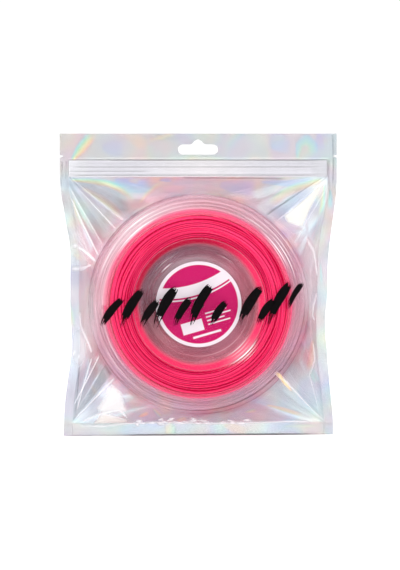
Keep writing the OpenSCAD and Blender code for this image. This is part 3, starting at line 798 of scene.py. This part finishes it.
def near_path(x, z, path):
    """How far each point is from a path, above 0 on its left, and how far along, from 0 to 1."""
    path = np.array(path, float)
    steps = np.diff(path, axis=0)
    lengths = np.hypot(*steps.T)
    best, off, along = (np.full(x.shape, v) for v in (np.inf, 0.0, 0.0))
    for i, length in enumerate(lengths):
        (px, pz), (dx, dz) = path[i], steps[i]
        t = np.clip(((x - px) * dx + (z - pz) * dz) / length ** 2, 0, 1)
        ex, ez = x - px - t * dx, z - pz - t * dz
        d = np.hypot(ex, ez)
        nearer = d < best
        best = np.where(nearer, d, best)
        off = np.where(nearer, d * np.sign(dx * ez - dz * ex), off)
        along = np.where(nearer, (lengths[:i].sum() + t * length) / lengths.sum(), along)
    return off, along


def rainbow(u):
    """The colour at a place in PASTEL."""
    at = [stop[0] for stop in PASTEL]
    return np.stack([np.interp(u, at, [stop[1][c] for stop in PASTEL]) for c in range(3)], -1)


def painted_bands(x, z, bands):
    """The bands' colour at each point, and how much of it shows."""
    colour, total = np.zeros((len(x), 3)), np.zeros(len(x))
    for path, width, strength, left, right in bands:
        off, along = near_path(x, z, path)
        across = off / (width / 2 * (0.35 + 0.65 * np.minimum(along * 2.5, 1)))
        ends = smooth(along / 0.06) * smooth((1 - along) / 0.3)
        shows = strength * smooth((1 - np.abs(across)) / 0.5) * ends
        colour += shows[:, None] * rainbow(left + (right - left) * (0.5 - across / 2))
        total += shows
    return colour / np.maximum(total, 1e-6)[:, None], np.minimum(total, 1)


def painted_lines(x, z, fan):
    """Painted white highlight lines above 0 and painted dark shade lines below: LINES, and the creases' own.
    """
    total = np.zeros(len(x))
    for path, width, strength in LINES:
        off, along = near_path(x, z, path)
        ends = smooth(along / 0.05) * smooth((1 - along) / 0.1)
        total += strength * np.clip(1 - np.abs(off) / width * 1.6, 0, 1) * ends
    turn, out = fan.T
    inside = smooth(out / 0.08) * smooth((1.0 - out) / 0.1)
    for at, _, _, strength in CREASES:
        total += strength * np.clip(1 - np.abs(turn - at) / 0.65, 0, 1) * inside
    return total


def painted_facets(fan):
    """How much lighter or darker the facets between creases are painted, as shade and reflection."""
    turn, out = fan.T
    total = np.zeros(len(turn))
    for start, end, amount in FACETS:
        total += amount * smooth((turn - start) / 0.8) * smooth((end - turn) / 0.8)
    return total * smooth(out / 0.02) * smooth((1.0 - out) / 0.02)


# Soft zones that change the silver film's colour, mostly painted shade and light on its facets and some a
# tint: middle x, z, half-width, half-height, change
ZONES = [
    (-70, -50, 44, 34, (-0.31, -0.32, -0.32)), (60, -212, 64, 20, (-0.14, -0.1, -0.1)),
    (88, -185, 26, 40, (-0.1, -0.1, -0.08)), (75, -45, 32, 24, (-0.32, -0.27, -0.11)),
    (-90, -197, 22, 30, (-0.2, -0.2, -0.16)), (0, -232, 140, 9, (0.06, 0.22, 0.2)),
    (-111, -215, 12, 44, (-0.16, -0.14, -0.08)), (110, -215, 12, 44, (-0.18, -0.18, -0.12)),
    (-113, -40, 10, 44, (-0.06, 0.02, 0.04)), (0, -33, 60, 12, (-0.24, 0.13, 0.24)),
    (85, -232, 32, 8, (-0.16, -0.24, -0.14)), (-60, 2, 70, 18, (0, -0.06, -0.06)),
    (-80, -232, 40, 9, (-0.16, -0.16, -0.12)), (20, 2, 50, 18, (0.04, 0, -0.05)),
    (-62, -26, 22, 7, (-0.02, 0.3, 0.36)), (-49, -33, 13, 11, (-0.1, 0.24, 0.34)),
    (-102, -104, 10, 14, (-0.28, -0.24, -0.14)), (-100, -60, 14, 26, (0.06, 0.16, 0.18)),
    (-98, -172, 16, 34, (0, 0.14, 0.16)), (95, -72, 16, 18, (-0.02, 0.12, 0.12)),
    (95, -125, 10, 16, (-0.05, -0.1, -0.1)), (5, -221, 24, 9, (0.1, 0.08, 0.1)),
    (-20, -216, 60, 12, (0.06, 0.08, 0.12)), (38, -221, 12, 9, (-0.12, -0.02, 0.02)),
    (-88, -191, 12, 12, (0.06, 0.1, 0.12)), (-47, -45, 20, 11, (0.3, 0.42, 0.38)),
    (-66, -62, 15, 13, (0.22, 0.4, 0.36)), (-84, -86, 10, 16, (0.08, 0.22, 0.18)),
    (-5, -33, 30, 6, (0.18, 0.12, 0.12)), (66, -55, 18, 14, (-0.1, -0.14, -0.1)),
    (75, -182, 18, 18, (-0.18, -0.2, -0.2)), (-86, -158, 12, 26, (-0.08, -0.14, -0.12)),
    (76, -69, 11, 6, (-0.25, -0.35, -0.18)), (-94, -28, 20, 5, (-0.18, -0.16, -0.16))]
# Soft white glare on the front film: middle x, z, half-width, half-height, strength
VEILS = [
    (-98, -140, 20, 60, 0.18), (-38, -219, 46, 14, 0.08), (-5, -31, 56, 10, 0.1), (98, -105, 18, 52, 0.2),
    (-99, -82, 16, 24, 0.22), (100, -178, 12, 26, 0.16), (-99, -165, 8, 22, 0.2)]
VEIL_COLOUR = (0.96, 0.96, 0.98)
# Small crinkles above the bottom seal catch the light: middle x, z, half-width and half-height
# of the strip, how many, how strong
CRINKLES = (-5, -225.5, 52, 2.6, 34, 0.8)
# Crisp patches on the front film, bright ones painted glare and a grey one painted shade: outline, softness,
# colour, strength
PATCHES = [
    ([(103.6, -28.4), (70.5, -54.9), (73.8, -59.9), (85.4, -62.9),
      (92.8, -47.5)], 2.5, (0.93, 0.91, 0.84), 0.7),
    ([(-72.1, -194.2), (-65.5, -200), (-63, -207.5), (-61.3, -214.9), (-78.8, -217.4), (-82.9, -213.3),
      (-77.1, -204.2)], 7, (0.95, 0.94, 0.93), 0.75),
    ([(-86.2, -226.5), (-81.7, -219.9), (-77.1, -218.2), (-69.6, -220.7),
      (-59.3, -225.4)], 4, (0.96, 0.91, 0.85), 0.6),
    ([(-101, -27.5), (-84, -29), (-70, -35), (-60, -48), (-66, -48), (-76, -41),
      (-90, -34.5)], 12, (0.5, 0.5, 0.53), 0.45)]


def soft_spot(x, z, cx, cz, half_w, half_h):
    """1 in the middle of an oval, and falling to 0 at its edge."""
    return smooth(1.7 - 1.7 * np.hypot((x - cx) / half_w, (z - cz) / half_h))


def crinkles(x, z, seed):
    """Small slanting glints, scattered over a strip."""
    cx, cz, half_w, half_h, count, strength = CRINKLES
    rng = np.random.default_rng(seed)
    total = np.zeros(len(x))
    for _ in range(count):
        px, pz = cx + rng.uniform(-half_w, half_w), cz + rng.uniform(-half_h, half_h)
        lean = rng.uniform(-1.2, 1.2)
        size = rng.uniform(1.5, 4), rng.uniform(0.8, 1.6)
        total = np.maximum(total, soft_spot(x, z + lean * (x - px), px, pz, *size))
    return strength * total


def soft_zones(x, z):
    return sum(soft_spot(x, z, *spot)[:, None] * np.array(change) for *spot, change in ZONES)


def is_inside(x, z, outline):
    """Whether each point lies in an outline, by counting the sides it crosses."""
    inside = np.zeros(len(x), bool)
    for (x0, z0), (x1, z1) in zip(outline, outline[1:] + outline[:1]):
        if z0 != z1:
            inside ^= ((z0 > z) != (z1 > z)) & (x < x0 + (z - z0) * (x1 - x0) / (z1 - z0))
    return inside


def painted_patches(x, z):
    """The patches' colour at each point, and how much of it shows."""
    colour, amount = np.zeros((len(x), 3)), np.zeros(len(x))
    for outline, soft, shade, strength in PATCHES:
        away = np.abs(near_path(x, z, outline + outline[:1])[0])
        depth = np.where(is_inside(x, z, outline), away, -away)
        shows = strength * smooth(0.5 + depth / soft)
        colour, amount = over(colour, amount, np.full((len(x), 3), shade), shows)
    return colour, amount


def over(low, low_amount, high, high_amount):
    """Lays one tint over another."""
    total = high_amount + low_amount * (1 - high_amount)
    mixed = high * high_amount[:, None] + low * (low_amount * (1 - high_amount))[:, None]
    return mixed / np.maximum(total, 1e-6)[:, None], total


def front_marks(x, z, fan):
    """What a film's colour is multiplied by, darker along painted shade lines, and a colour to lay over it
    and how much of that: painted glare, glints and highlights, and a band.
    """
    lines = painted_lines(x, z, fan)
    cast = np.ones((len(x), 3)) * (1 + np.clip(lines, -1.5, 0) * 0.5)[:, None]
    pale = np.full((len(x), 3), VEIL_COLOUR)
    colour, amount = over(*painted_bands(x, z, FRONT_BANDS), *painted_patches(x, z))
    haze_and_glow = sum(high * soft_spot(x, z, *spot) for *spot, high in VEILS)
    colour, amount = over(pale, np.maximum(haze_and_glow, crinkles(x, z, 8)), colour, amount)
    colour, amount = over(colour, amount, pale, 0.8 * np.clip(lines, 0, 1))
    # Where nothing is painted the colour is still pale, so that edges don't darken.
    return cast, np.where(amount[:, None] > 1e-3, colour, pale), amount


def back_marks(x, z, fan):
    """The same for the back film."""
    out = fan[:, 1:]
    # Painted light: the tent inside the pouch is bluer, which offsets the pink light from the string,
    # the film behind the reel is redder, the zones paint shade and light, and the film is lighter near the
    # rim.
    tone = 1 + (out <= 1) * np.array([0.04, 0.24, 0.26]) + (out < 0) * np.array([0.05, 0, 0.02])
    tone = tone + soft_zones(x, z) + 0.25 * bump(np.abs(out), 0, 0.2)
    # Painted light beside the rim at the upper left keeps the reel's shadow there faint.
    off, where = np.hypot(x, z - REEL_Z) - REEL_R, np.degrees(np.arctan2(z - REEL_Z, x))
    rim_light_lift = smooth(1 - np.abs(off - 1.0) / 3.2) * smooth(1 - np.abs(where - 138) / 42)
    tone = tone + rim_light_lift[:, None] * np.array([0.26, 0.50, 0.44])
    # Painted shade along the pouch's bottom edge, where it stands on the floor.
    foot = smooth((BOTTOM_Z + 1.3 - z) / 0.6) * smooth((92 - np.abs(x - 15)) / 45)
    light = 1 + painted_facets(fan) + 0.1 * np.clip(painted_lines(x, z, fan), -1, 1) - 0.7 * foot
    return tone * light[:, None], *painted_bands(x, z, BANDS)


# ------------------------------------------------------------------ cutting out and closing the films

def slot_outline():
    """The hang slot, [x, z]: a round-ended bar with a hump over its middle."""
    r, bar = SLOT_H / 2, (SLOT_W - SLOT_H) / 2
    hump_r = HUMP_W / 2
    hump_z = HUMP_RISE - hump_r
    fillet = 1.3
    # A fillet circle rests on the bar's top line and touches the hump.
    fz = r + fillet
    fx = math.sqrt((hump_r + fillet) ** 2 - (fz - hump_z) ** 2)
    meet = math.atan2(fz - hump_z, fx)
    arcs = [((bar, 0), r, -90, 90), ((fx, fz), -fillet, 90, math.degrees(meet)),
            ((0, hump_z), hump_r, math.degrees(meet), 180 - math.degrees(meet)),
            ((-fx, fz), -fillet, 180 - math.degrees(meet), 90), ((-bar, 0), r, 90, 270)]
    points = []
    for (cx, cz), radius, start, end in arcs:
        for a in np.radians(np.linspace(start, end, 17)):
            points.append((cx + radius * math.cos(a), cz + radius * math.sin(a)))
    return points


def notch_outline(side):
    """A tear notch in the side seal, [x, z]."""
    x = side * (edge_x(np.array(NOTCH_Z)) + edge_out(side, NOTCH_Z))
    outside = x + side * 2
    return [(x - side * NOTCH_DEPTH, NOTCH_Z), (outside, NOTCH_Z + NOTCH_H), (outside, NOTCH_Z - NOTCH_H)]


def cutter(name, outline, depth):
    """A closed prism through both films."""
    count = len(outline)
    points = [(x, y, z) for y in (-depth, depth) for x, z in outline]
    faces = [tuple(range(count)), tuple(range(2 * count - 1, count - 1, -1))]
    faces += [(i, (i + 1) % count, count + (i + 1) % count, count + i) for i in range(count)]
    obj = make_mesh(name, points, faces, None, is_smooth=False)
    face_outward(obj)
    return obj


def cut(obj, cutters):
    """Takes the cutters out of a mesh and removes them."""
    for tool in cutters:
        modifier = obj.modifiers.new("cut", "BOOLEAN")
        modifier.operation = "DIFFERENCE"
        modifier.solver = "EXACT"
        modifier.object = tool
    graph = bpy.context.evaluated_depsgraph_get()
    mesh = bpy.data.meshes.new_from_object(obj.evaluated_get(graph))
    obj.modifiers.clear()
    obj.data = mesh
    for tool in cutters:
        bpy.data.objects.remove(tool)


def film(name, side, seed, material):
    """A film with its marks, its thickness and its cut-outs. side is -1 for the front film and
    1 for the back one."""
    points, faces, fan = film_sheet(side, seed)
    mid = frame_wave(points[:, 0], points[:, 2])
    sheet = np.stack([points[:, 0], side * points[:, 1] + mid, points[:, 2]], -1)
    obj = make_mesh(name, sheet, faces, material)
    marks = front_marks if side < 0 else back_marks
    cast, colour, amount = marks(points[:, 0], points[:, 2], fan)
    for key, rgb, alpha in (("cast", cast, np.ones(len(cast))), ("tint", colour, amount)):
        layer = obj.data.attributes.new(key, "FLOAT_COLOR", "POINT")
        layer.data.foreach_set("color", np.column_stack([rgb, alpha]).ravel())
    bm = bmesh.new()
    bm.from_mesh(obj.data)
    bmesh.ops.remove_doubles(bm, verts=bm.verts, dist=1e-6)
    bmesh.ops.recalc_face_normals(bm, faces=bm.faces)
    bm.normal_update()
    hub = min(bm.verts, key=lambda v: (v.co.x ** 2 + (v.co.z - REEL_Z * MM) ** 2))
    if hub.normal.y * side < 0:
        bmesh.ops.reverse_faces(bm, faces=bm.faces)
        bm.normal_update()
    # The outer face is a copy of the inner one, a film's thickness out, joined round the edge.
    inner_faces, border = list(bm.faces), [e for e in bm.edges if e.is_boundary]
    outer = {v: bm.verts.new(v.co + v.normal * FILM_T * MM, v) for v in list(bm.verts)}
    if side > 0:
        cast_layer = bm.verts.layers.float_color["cast"]
        for v in outer.values():
            v[cast_layer] = (0.72, 0.72, 0.75, 1)
    for f in inner_faces:
        bm.faces.new([outer[v] for v in f.verts]).smooth = True
    for e in border:
        a, b = e.verts
        bm.faces.new([a, b, outer[b], outer[a]])
    bmesh.ops.reverse_faces(bm, faces=inner_faces)
    bmesh.ops.recalc_face_normals(bm, faces=bm.faces)
    bm.to_mesh(obj.data)
    bm.free()
    outlines = slot_outline(), notch_outline(1), notch_outline(-1)
    cut(obj, [cutter("tool", outline, 3) for outline in outlines])
    obj.data.set_sharp_from_angle(angle=SHARP)
    return obj


# ------------------------------------------------------------------ reel

def rounded(profile, radius, steps=3):
    """Rounds the corners of a closed [radius, y] profile."""
    made = []
    count = len(profile)
    for i in range(count):
        a, b, c = (np.array(profile[(i + d) % count], float) for d in (-1, 0, 1))
        reach = min(radius, 0.45 * np.linalg.norm(a - b), 0.45 * np.linalg.norm(c - b))
        p = b + (a - b) / np.linalg.norm(a - b) * reach
        q = b + (c - b) / np.linalg.norm(c - b) * reach
        for t in np.linspace(0, 1, steps + 1):
            made.append((1 - t) ** 2 * p + 2 * t * (1 - t) * b + t ** 2 * q)
    return made


def lathe(name, profile, side, material, count=ROUND):
    """Turns a closed [radius, distance from the mid-plane] profile round the reel's axis."""
    profile = np.array(profile)
    a = np.arange(count) * 2 * math.pi / count
    r, y = profile[:, 0], profile[:, 1]
    points = np.stack([np.outer(np.cos(a), r), np.broadcast_to(side * y, (count, len(r))),
                       REEL_Z + np.outer(np.sin(a), r)], -1).reshape(-1, 3)
    m = len(r)
    faces = [(i * m + j, i * m + (j + 1) % m, (i + 1) % count * m + (j + 1) % m, (i + 1) % count * m + j)
             for i in range(count) for j in range(m)]
    obj = make_mesh(name, points, faces, material)
    face_outward(obj)
    obj.data.set_sharp_from_angle(angle=SHARP)
    return obj


def half_profile(spigot):
    """A reel half as one closed outline, [radius, distance from the mid-plane]."""
    lap, end = (DRUM_R + DRUM_IN) / 2, -4.0
    if not spigot:
        lap, end = lap + 0.1, 4.1
    band_r = REEL_R - RIM_W
    grooves = [(r - inward, RIM_Y - deep) for r in (REEL_R - 1.2, REEL_R - 3.6)
               for inward, deep in ((0, 0), (0.3, 0.3), (0.8, 0.3), (1.1, 0))]
    return [(band_r, INNER_Y), (band_r, RIM_Y - RIM_T), (REEL_R, RIM_Y - RIM_T), (REEL_R, RIM_Y), *grooves,
            (band_r, RIM_Y), (band_r - 0.6, FACE_Y), (DISH_R, FACE_Y), (FLOOR_R, SEAT_Y + 0.4),
            (LABEL_R + 0.6, SEAT_Y + 0.4), (LABEL_R + 0.6, SEAT_Y), (BORE_R, SEAT_Y), (BORE_R, 0),
            (BOSS_R, 0), (BOSS_R, SEAT_Y - WEB_T), (FLOOR_R + WEB_T, SEAT_Y - WEB_T),
            (DISH_R + WEB_T, INNER_Y), (DRUM_IN, INNER_Y), (DRUM_IN, end), (lap, end), (lap, 0),
            (DRUM_R, 0), (DRUM_R, INNER_Y)]


def reel_half(name, side, spigot, material):
    return lathe(name, rounded(half_profile(spigot), 0.3, 2), side, material)


# ------------------------------------------------------------------ string

GAP_DARK = 1.3            # how dark a deep gap between two turns gets
KNOTS_PER_TURN = 4.3      # how often the shade and the depth of the gaps change


# Turns of the outer layer: over the back, round the outside, over the front, loose on top
BACK_TURNS, WRAP_TURNS, FACE_TURNS, LOOSE_TURNS = 15.6, 18.4, 14.9, 1.3
LEAST_STEP = 1.04 * STRING_D  # from one turn to the next in a packed layer
JOIN = 14                 # steps either side of a join between two layers that are smoothed


def packed_line(turns, start, end, limits, seed, slack):
    """Positions across a layer along its turns. Neighbouring turns never overlap, and where
    they drift apart they leave lens-shaped gaps."""
    count = int(turns * TURN_STEPS)
    u = np.arange(count + 1) / count
    base = start + (end - start) * u
    rng = np.random.default_rng(seed)
    phase = np.arange(count + 1) / TURN_STEPS
    drift = np.zeros(count + 1)
    for _ in range(10):
        f, a = rng.uniform(0.3, 1.5), rng.uniform(0, 2 * math.pi)
        drift += np.sin(2 * math.pi * f * phase + a + 2.0 * np.sin(phase * rng.uniform(0.3, 1.1))) / f ** 0.5
    line = base + slack * drift / 2.2
    sign = math.copysign(1, end - start)
    low, high = min(limits), max(limits)
    for _ in range(400):
        short = LEAST_STEP - sign * (line[TURN_STEPS:] - line[:-TURN_STEPS])
        push = np.maximum(short, 0) * 0.5 * sign
        line[TURN_STEPS:] += push
        line[:-TURN_STEPS] -= push
        line = np.clip(line, low, high)
        middle = (np.roll(line, 1) + np.roll(line, -1)) / 2
        middle[0], middle[-1] = line[0], line[-1]
        line = 0.7 * line + 0.3 * middle
    return line


def gapped_line(turns, start, end, seed):
    """Positions across a layer whose turns touch in places and open into thin lens-shaped
    gaps in others. The gaps of all turns add up to the same at each angle."""
    count = int(turns * TURN_STEPS)
    turn = np.arange(count + 1) / TURN_STEPS
    rng = np.random.default_rng(seed)
    wave = sum(np.sin(2 * math.pi * rng.uniform(0.6, 2.6) * turn + rng.uniform(0, 2 * math.pi))
               for _ in range(8))
    gap = np.clip(wave + 0.2, 0, 2.0) * smooth(2 * (turn - 1)) * smooth(2 * (turns - turn))
    spare = abs(end - start) - STRING_D * turns
    for i in range(TURN_STEPS):
        gap[i::TURN_STEPS] *= spare / gap[i::TURN_STEPS].sum()
    across = STRING_D * turn
    for i in range(TURN_STEPS, count + 1):
        across[i] = across[i - TURN_STEPS] + STRING_D + gap[i]
    return start + math.copysign(1, end - start) * across


def gap_shades(path, points, seed):
    """A shade for each point of the string: bright on a turn's crown and dark towards the next
    turn and the last one. About every second gap between two turns is a deep one."""
    count = len(path)
    turn = np.arange(count) / TURN_STEPS
    knots = np.random.default_rng(seed).random((2, int(turn[-1] * KNOTS_PER_TURN) + 2))
    loose, drift = (np.interp(turn * KNOTS_PER_TURN, np.arange(len(k)), k) for k in knots)
    depth = 0.5 + 0.75 * np.cos(2 * math.pi * (0.45 * turn + 0.6 * drift)) + 0.4 * (loose - 0.5)
    depth = np.clip(depth, 0, 1)
    normal = points - path[:, None]
    normal /= np.linalg.norm(normal, axis=2, keepdims=True)
    shade = np.repeat(0.56 + 0.2 * loose[:, None], normal.shape[1], 1)
    for step, deep in ((TURN_STEPS, depth), (-TURN_STEPS, np.roll(depth, TURN_STEPS))):
        neighbour = np.roll(path, -step, 0) - path
        neighbour /= np.linalg.norm(neighbour, axis=1, keepdims=True)
        towards = np.clip((normal * neighbour[:, None]).sum(2), 0, 1)
        shade -= GAP_DARK * deep[:, None] * towards ** 2
    return shade.ravel()


def string_path():
    """Points of the outer layer's one unbroken string: over the back, round, over the front,
    and back out in a few loose turns that lie on top."""
    d = STRING_D
    top_y = INNER_Y - SEAT_GAP - d / 2
    base_y = top_y - d
    in_r, out_r = DRUM_R + 0.3 + d / 2, WOUND_R - d / 2
    back = packed_line(BACK_TURNS, in_r, out_r - d, (in_r, out_r - d), 3, 0.5)
    wrap = packed_line(WRAP_TURNS, base_y, -base_y, (-base_y, base_y), 4, 0.5)
    face = gapped_line(FACE_TURNS, out_r - d * 0.9, in_r, 5)
    riders = packed_line(LOOSE_TURNS, in_r + 1, out_r - 3, (in_r, out_r - 2.5), 6, 2.0)
    radius = np.concatenate([back, np.full(len(wrap), out_r), face, riders])
    depth = np.concatenate([np.full(len(back), base_y), wrap, np.full(len(face), -base_y),
                            np.full(len(riders), -top_y)])
    # Smooth joins where one layer passes to the next
    joins = np.cumsum([len(back), len(wrap), len(face)])
    for _ in range(40):
        for line in (radius, depth):
            middle = (line[:-2] + line[2:]) / 2
            for j in joins:
                line[j - JOIN:j + JOIN] = middle[j - JOIN - 1:j + JOIN - 1]
    angle = 2 * math.pi * np.arange(len(radius)) / TURN_STEPS
    return np.stack([radius * np.cos(angle), depth, REEL_Z + radius * np.sin(angle)], -1)


def tube(name, path, radius, sides, material):
    """A closed tube along a path, with rings that don't twist."""
    tangent = np.gradient(path, axis=0)
    tangent /= np.linalg.norm(tangent, axis=1, keepdims=True)
    axis = np.array([0, 1.0, 0])
    side = axis - (tangent @ axis)[:, None] * tangent
    side /= np.linalg.norm(side, axis=1, keepdims=True)
    other = np.cross(tangent, side)
    a = np.arange(sides) * 2 * math.pi / sides
    across = np.cos(a)[:, None] * side[:, None] + np.sin(a)[:, None] * other[:, None]
    rings = path[:, None] + radius * across
    faces = grid_faces(len(path), sides, True)
    last = (len(path) - 1) * sides
    faces += [tuple(range(sides - 1, -1, -1)), tuple(range(last, last + sides))]
    obj = make_mesh(name, rings.reshape(-1, 3), faces, material)
    face_outward(obj)
    return obj


def under_layers(material):
    """The layers below the outer one: a ring whose faces carry the ridges of their turns."""
    d = STRING_D
    top = INNER_Y - SEAT_GAP - 2 * d - 0.35
    low_r, high_r = DRUM_R + SEAT_GAP, WOUND_R - d - 0.3
    a = np.linspace(0, math.pi, 5)[:-1]

    def turns(start, end, across, outward):
        count = int(round(abs(end - start) / d))
        step = (end - start) / count
        for i in range(count):
            for t in a:
                rise = across + outward * (math.sin(t) * d / 2 - d / 2)
                yield start + (i + 0.5) * step - math.cos(t) * step / 2, rise

    front, back = list(turns(low_r, high_r, top, 1)), list(turns(high_r, low_r, -top, -1))
    outside = [(r, y) for y, r in turns(top - d / 2, -top + d / 2, high_r, 1)]
    return lathe("string_under_layers", front + outside + back, 1, material, 180)


# ------------------------------------------------------------------ print on the film

SAG_SEED = {"front": 21, "back": 31}
INK_GAP, INK_T = 0.03, 0.02


def film_face(x, z, seed):
    """How far the outer face of a film stands from the middle, over the reel."""
    r = np.hypot(x, z - REEL_Z)
    inward = np.clip((REEL_R - 1.2 - r) / 1.1, 0, 1)
    return TENT_Y + FILM_T - DIP * inward + sag(x, z, seed)


# Brush marks, generic: a row of slanting dashes. Each is the middle [x, height over the
# reel's axis], its length, width and lean in degrees.
DASHES = [
    (-72, -6, 30, 6.5, 50), (-56, -3, 38, 7.5, 58), (-41, -7, 27, 6.5, 54), (-28, -2, 39, 8, 60),
    (-14, -6, 28, 6.5, 57), (1, 0, 39, 8, 60), (16, -7, 24, 6.5, 55), (42, -1, 38, 8, 58),
    (55, -6, 26, 6.5, 54), (66, 1, 40, 7.5, 60), (79, 7, 26, 4.5, 58)]


def dash_curve(x, z, length, lean):
    """A slightly bent dash as four points."""
    a = math.radians(lean)
    along, side = np.array([math.cos(a), math.sin(a)]), np.array([-math.sin(a), math.cos(a)])
    return [np.array([x, z]) + along * length * t + side * length * s
            for t, s in ((0.5, 0.0), (0.2, 0.07), (-0.2, 0.05), (-0.5, -0.04))]


def stroke(name, curve, width, ragged, seed, material):
    """A dry-brush mark: lanes side by side along a curve, each starting and ending on its own."""
    lanes, steps = 14, 90
    rng = np.random.default_rng(seed)
    t = np.linspace(0, 1, steps + 1)[:, None]
    p0, p1, p2, p3 = (np.array(c, float) for c in curve)
    line = (1 - t) ** 3 * p0 + 3 * t * (1 - t) ** 2 * p1 + 3 * t * t * (1 - t) * p2 + t ** 3 * p3
    along = np.gradient(line, axis=0)
    along /= np.linalg.norm(along, axis=1, keepdims=True)
    across = np.stack([-along[:, 1], along[:, 0]], -1)
    swell = np.sin(np.pi * np.clip(t[:, 0], 0, 1) ** 0.75) ** 0.6
    half = width / 2 * (0.25 + 0.75 * swell) * (1 + 0.06 * np.sin(9 * t[:, 0] + seed))
    start = ragged * 0.35 * rng.random(lanes)
    end = 1 - ragged * rng.random(lanes)
    lane_at = np.linspace(-1, 1, lanes + 1)
    points = line[:, None, :] + across[:, None, :] * (half[:, None] * lane_at[None, :])[..., None]
    x, z = points[..., 0], REEL_Z + points[..., 1]
    base = film_face(x, z, SAG_SEED["front"])
    low, high = -(base + INK_GAP), -(base + INK_GAP + INK_T)
    kept = [(i, j) for i in range(steps) for j in range(lanes)
            if start[j] <= t[i, 0] and t[i + 1, 0] <= end[j]]
    count = (steps + 1) * (lanes + 1)

    def at(i, j, top):
        return top * count + i * (lanes + 1) + j

    held = set(kept)
    faces = []
    for i, j in kept:
        faces.append((at(i, j, 1), at(i, j + 1, 1), at(i + 1, j + 1, 1), at(i + 1, j, 1)))
        faces.append((at(i, j, 0), at(i + 1, j, 0), at(i + 1, j + 1, 0), at(i, j + 1, 0)))
        sides = {(i - 1, j): ((i, j), (i, j + 1)), (i + 1, j): ((i + 1, j + 1), (i + 1, j)),
                 (i, j - 1): ((i + 1, j), (i, j)), (i, j + 1): ((i, j + 1), (i + 1, j + 1))}
        for cell, (a, b) in sides.items():
            if cell not in held:
                faces.append((at(*a, 0), at(*b, 0), at(*b, 1), at(*a, 1)))
    every = np.concatenate([np.stack([x, y, z], -1).reshape(-1, 3) for y in (low, high)])
    obj = make_mesh(name, every, faces, material, is_smooth=False)
    bm = bmesh.new()
    bm.from_mesh(obj.data)
    bmesh.ops.delete(bm, geom=[v for v in bm.verts if not v.link_faces], context="VERTS")
    bmesh.ops.recalc_face_normals(bm, faces=bm.faces)
    bm.to_mesh(obj.data)
    bm.free()
    return obj


# ------------------------------------------------------------------ stage

def stage():
    """A round floor 9 m in radius, just under the pouch."""
    bpy.ops.mesh.primitive_circle_add(vertices=96, radius=9.0, fill_type="NGON",
                                      location=(0, 0, BOTTOM_Z * MM - 0.0001))
    floor = bpy.context.object
    floor.name = "floor"
    floor.data.materials.append(floor_material())


def look_along(obj, direction):
    obj.rotation_euler = direction.to_track_quat("-Z", "Y").to_euler()


# Soft lights in metres and watts: name, middle, width, height, power
LIGHTS = [("box_right", (0.98, -1.59, 0.52), 0.5, 0.5, 2.2), ("box_left", (-1.0, -1.5, 0.62), 0.05, 0.7, 0.6),
          ("box_side", (-1.9, -0.6, 0.5), 0.9, 1.2, 5), ("box_front", (0.1, -1.1, 1.6), 1.8, 0.8, 8),
          ("box_top", (0.1, 1.0, 1.7), 1.8, 0.9, 6)]


def lights():
    """Area lights that look at the reel."""
    for name, middle, width, height, watts in LIGHTS:
        light = bpy.data.lights.new(name, "AREA")
        light.shape = "RECTANGLE"
        light.size, light.size_y, light.energy = width, height, watts
        box = new_object(name, light)
        box.location = middle
        look_along(box, Vector((0, 0, -0.12)) - Vector(middle))


def world():
    """A pale room that is dark behind the camera. The camera itself sees plain white."""
    n = Nodes(bpy.data.worlds.new("studio"), "OutputWorld")
    _, y, _ = n.axes(n.make("TexCoord", {}, "Generated"))
    room = n.ramp(y + 1.0, [(0.02, (0.02, 0.02, 0.02)), (0.20, (1.0, 1.0, 1.02))])
    unseen = n.shader("Background", Color=room)
    seen = n.shader("Background", Color=WHITE, Strength=1.05)
    by_camera = n.make("LightPath", {}, "Is Camera Ray")
    bpy.context.scene.world = n.finish(n.mix_shader(by_camera, unseen, seen))


def camera():
    """The photograph's view: long lens, a little above and to the left of square on."""
    data = bpy.data.cameras.new("camera")
    data.lens, data.sensor_width, data.sensor_fit = 182.9, 36, "AUTO"
    obj = new_object("camera", data)
    azimuth, elevation, distance = math.radians(-3.5), math.radians(2.8), 2.4
    back = Vector((math.sin(azimuth) * math.cos(elevation), -math.cos(azimuth) * math.cos(elevation),
                   math.sin(elevation)))
    obj.location = Vector((1.66, 0, -112.1)) * MM + back * distance
    look_along(obj, -back)
    bpy.context.scene.camera = obj


# ------------------------------------------------------------------ the whole

camera()
clear_film, silver_film = clear_film_material(), holographic_material()
plastic, pink, white_zip = clear_plastic_material(), string_material(), zip_material()

place(film("front_film_sheet", -1, SAG_SEED["front"], clear_film), "pouch", ["front_film"])
place(film("back_film_sheet", 1, SAG_SEED["back"], silver_film), "pouch", ["back_film"])
place(reel_half("reel_front", -1, True, plastic), "reel", ["reel_front_half"])
place(reel_half("reel_back", 1, False, plastic), "reel", ["reel_back_half"])
turns_path = string_path()
string = tube("string_turns", turns_path, STRING_D / 2, TUBE_SIDES, pink)
shades = string.data.attributes.new("shade", "FLOAT", "POINT")
around = np.array([v.co for v in string.data.vertices]).reshape(-1, TUBE_SIDES, 3) / MM
shades.data.foreach_set("value", gap_shades(turns_path, around, 9))
place(string, "reel", ["string_outer_turns"])
place(under_layers(shaded_string_material()), "reel", ["string_inner_layers"])
ink = ink_material()
for number, (x, z, length, width, lean) in enumerate(DASHES):
    curve = dash_curve(x, z, length, lean)
    place(stroke(f"brush_mark_{number}", curve, width, 0.3, 40 + number, ink), "pouch")
for node, material in (("zip_rib_strip", white_zip), ("zip_channel_strip", white_zip),
                       ("reel_label", label_material())):
    mesh = frame["nodes"][node].data
    mesh.materials.clear()
    mesh.materials.append(material)

stage()
lights()
world()
scene = bpy.context.scene
scene.view_settings.view_transform = "Standard"
scene.cycles.transparent_max_bounces = 32
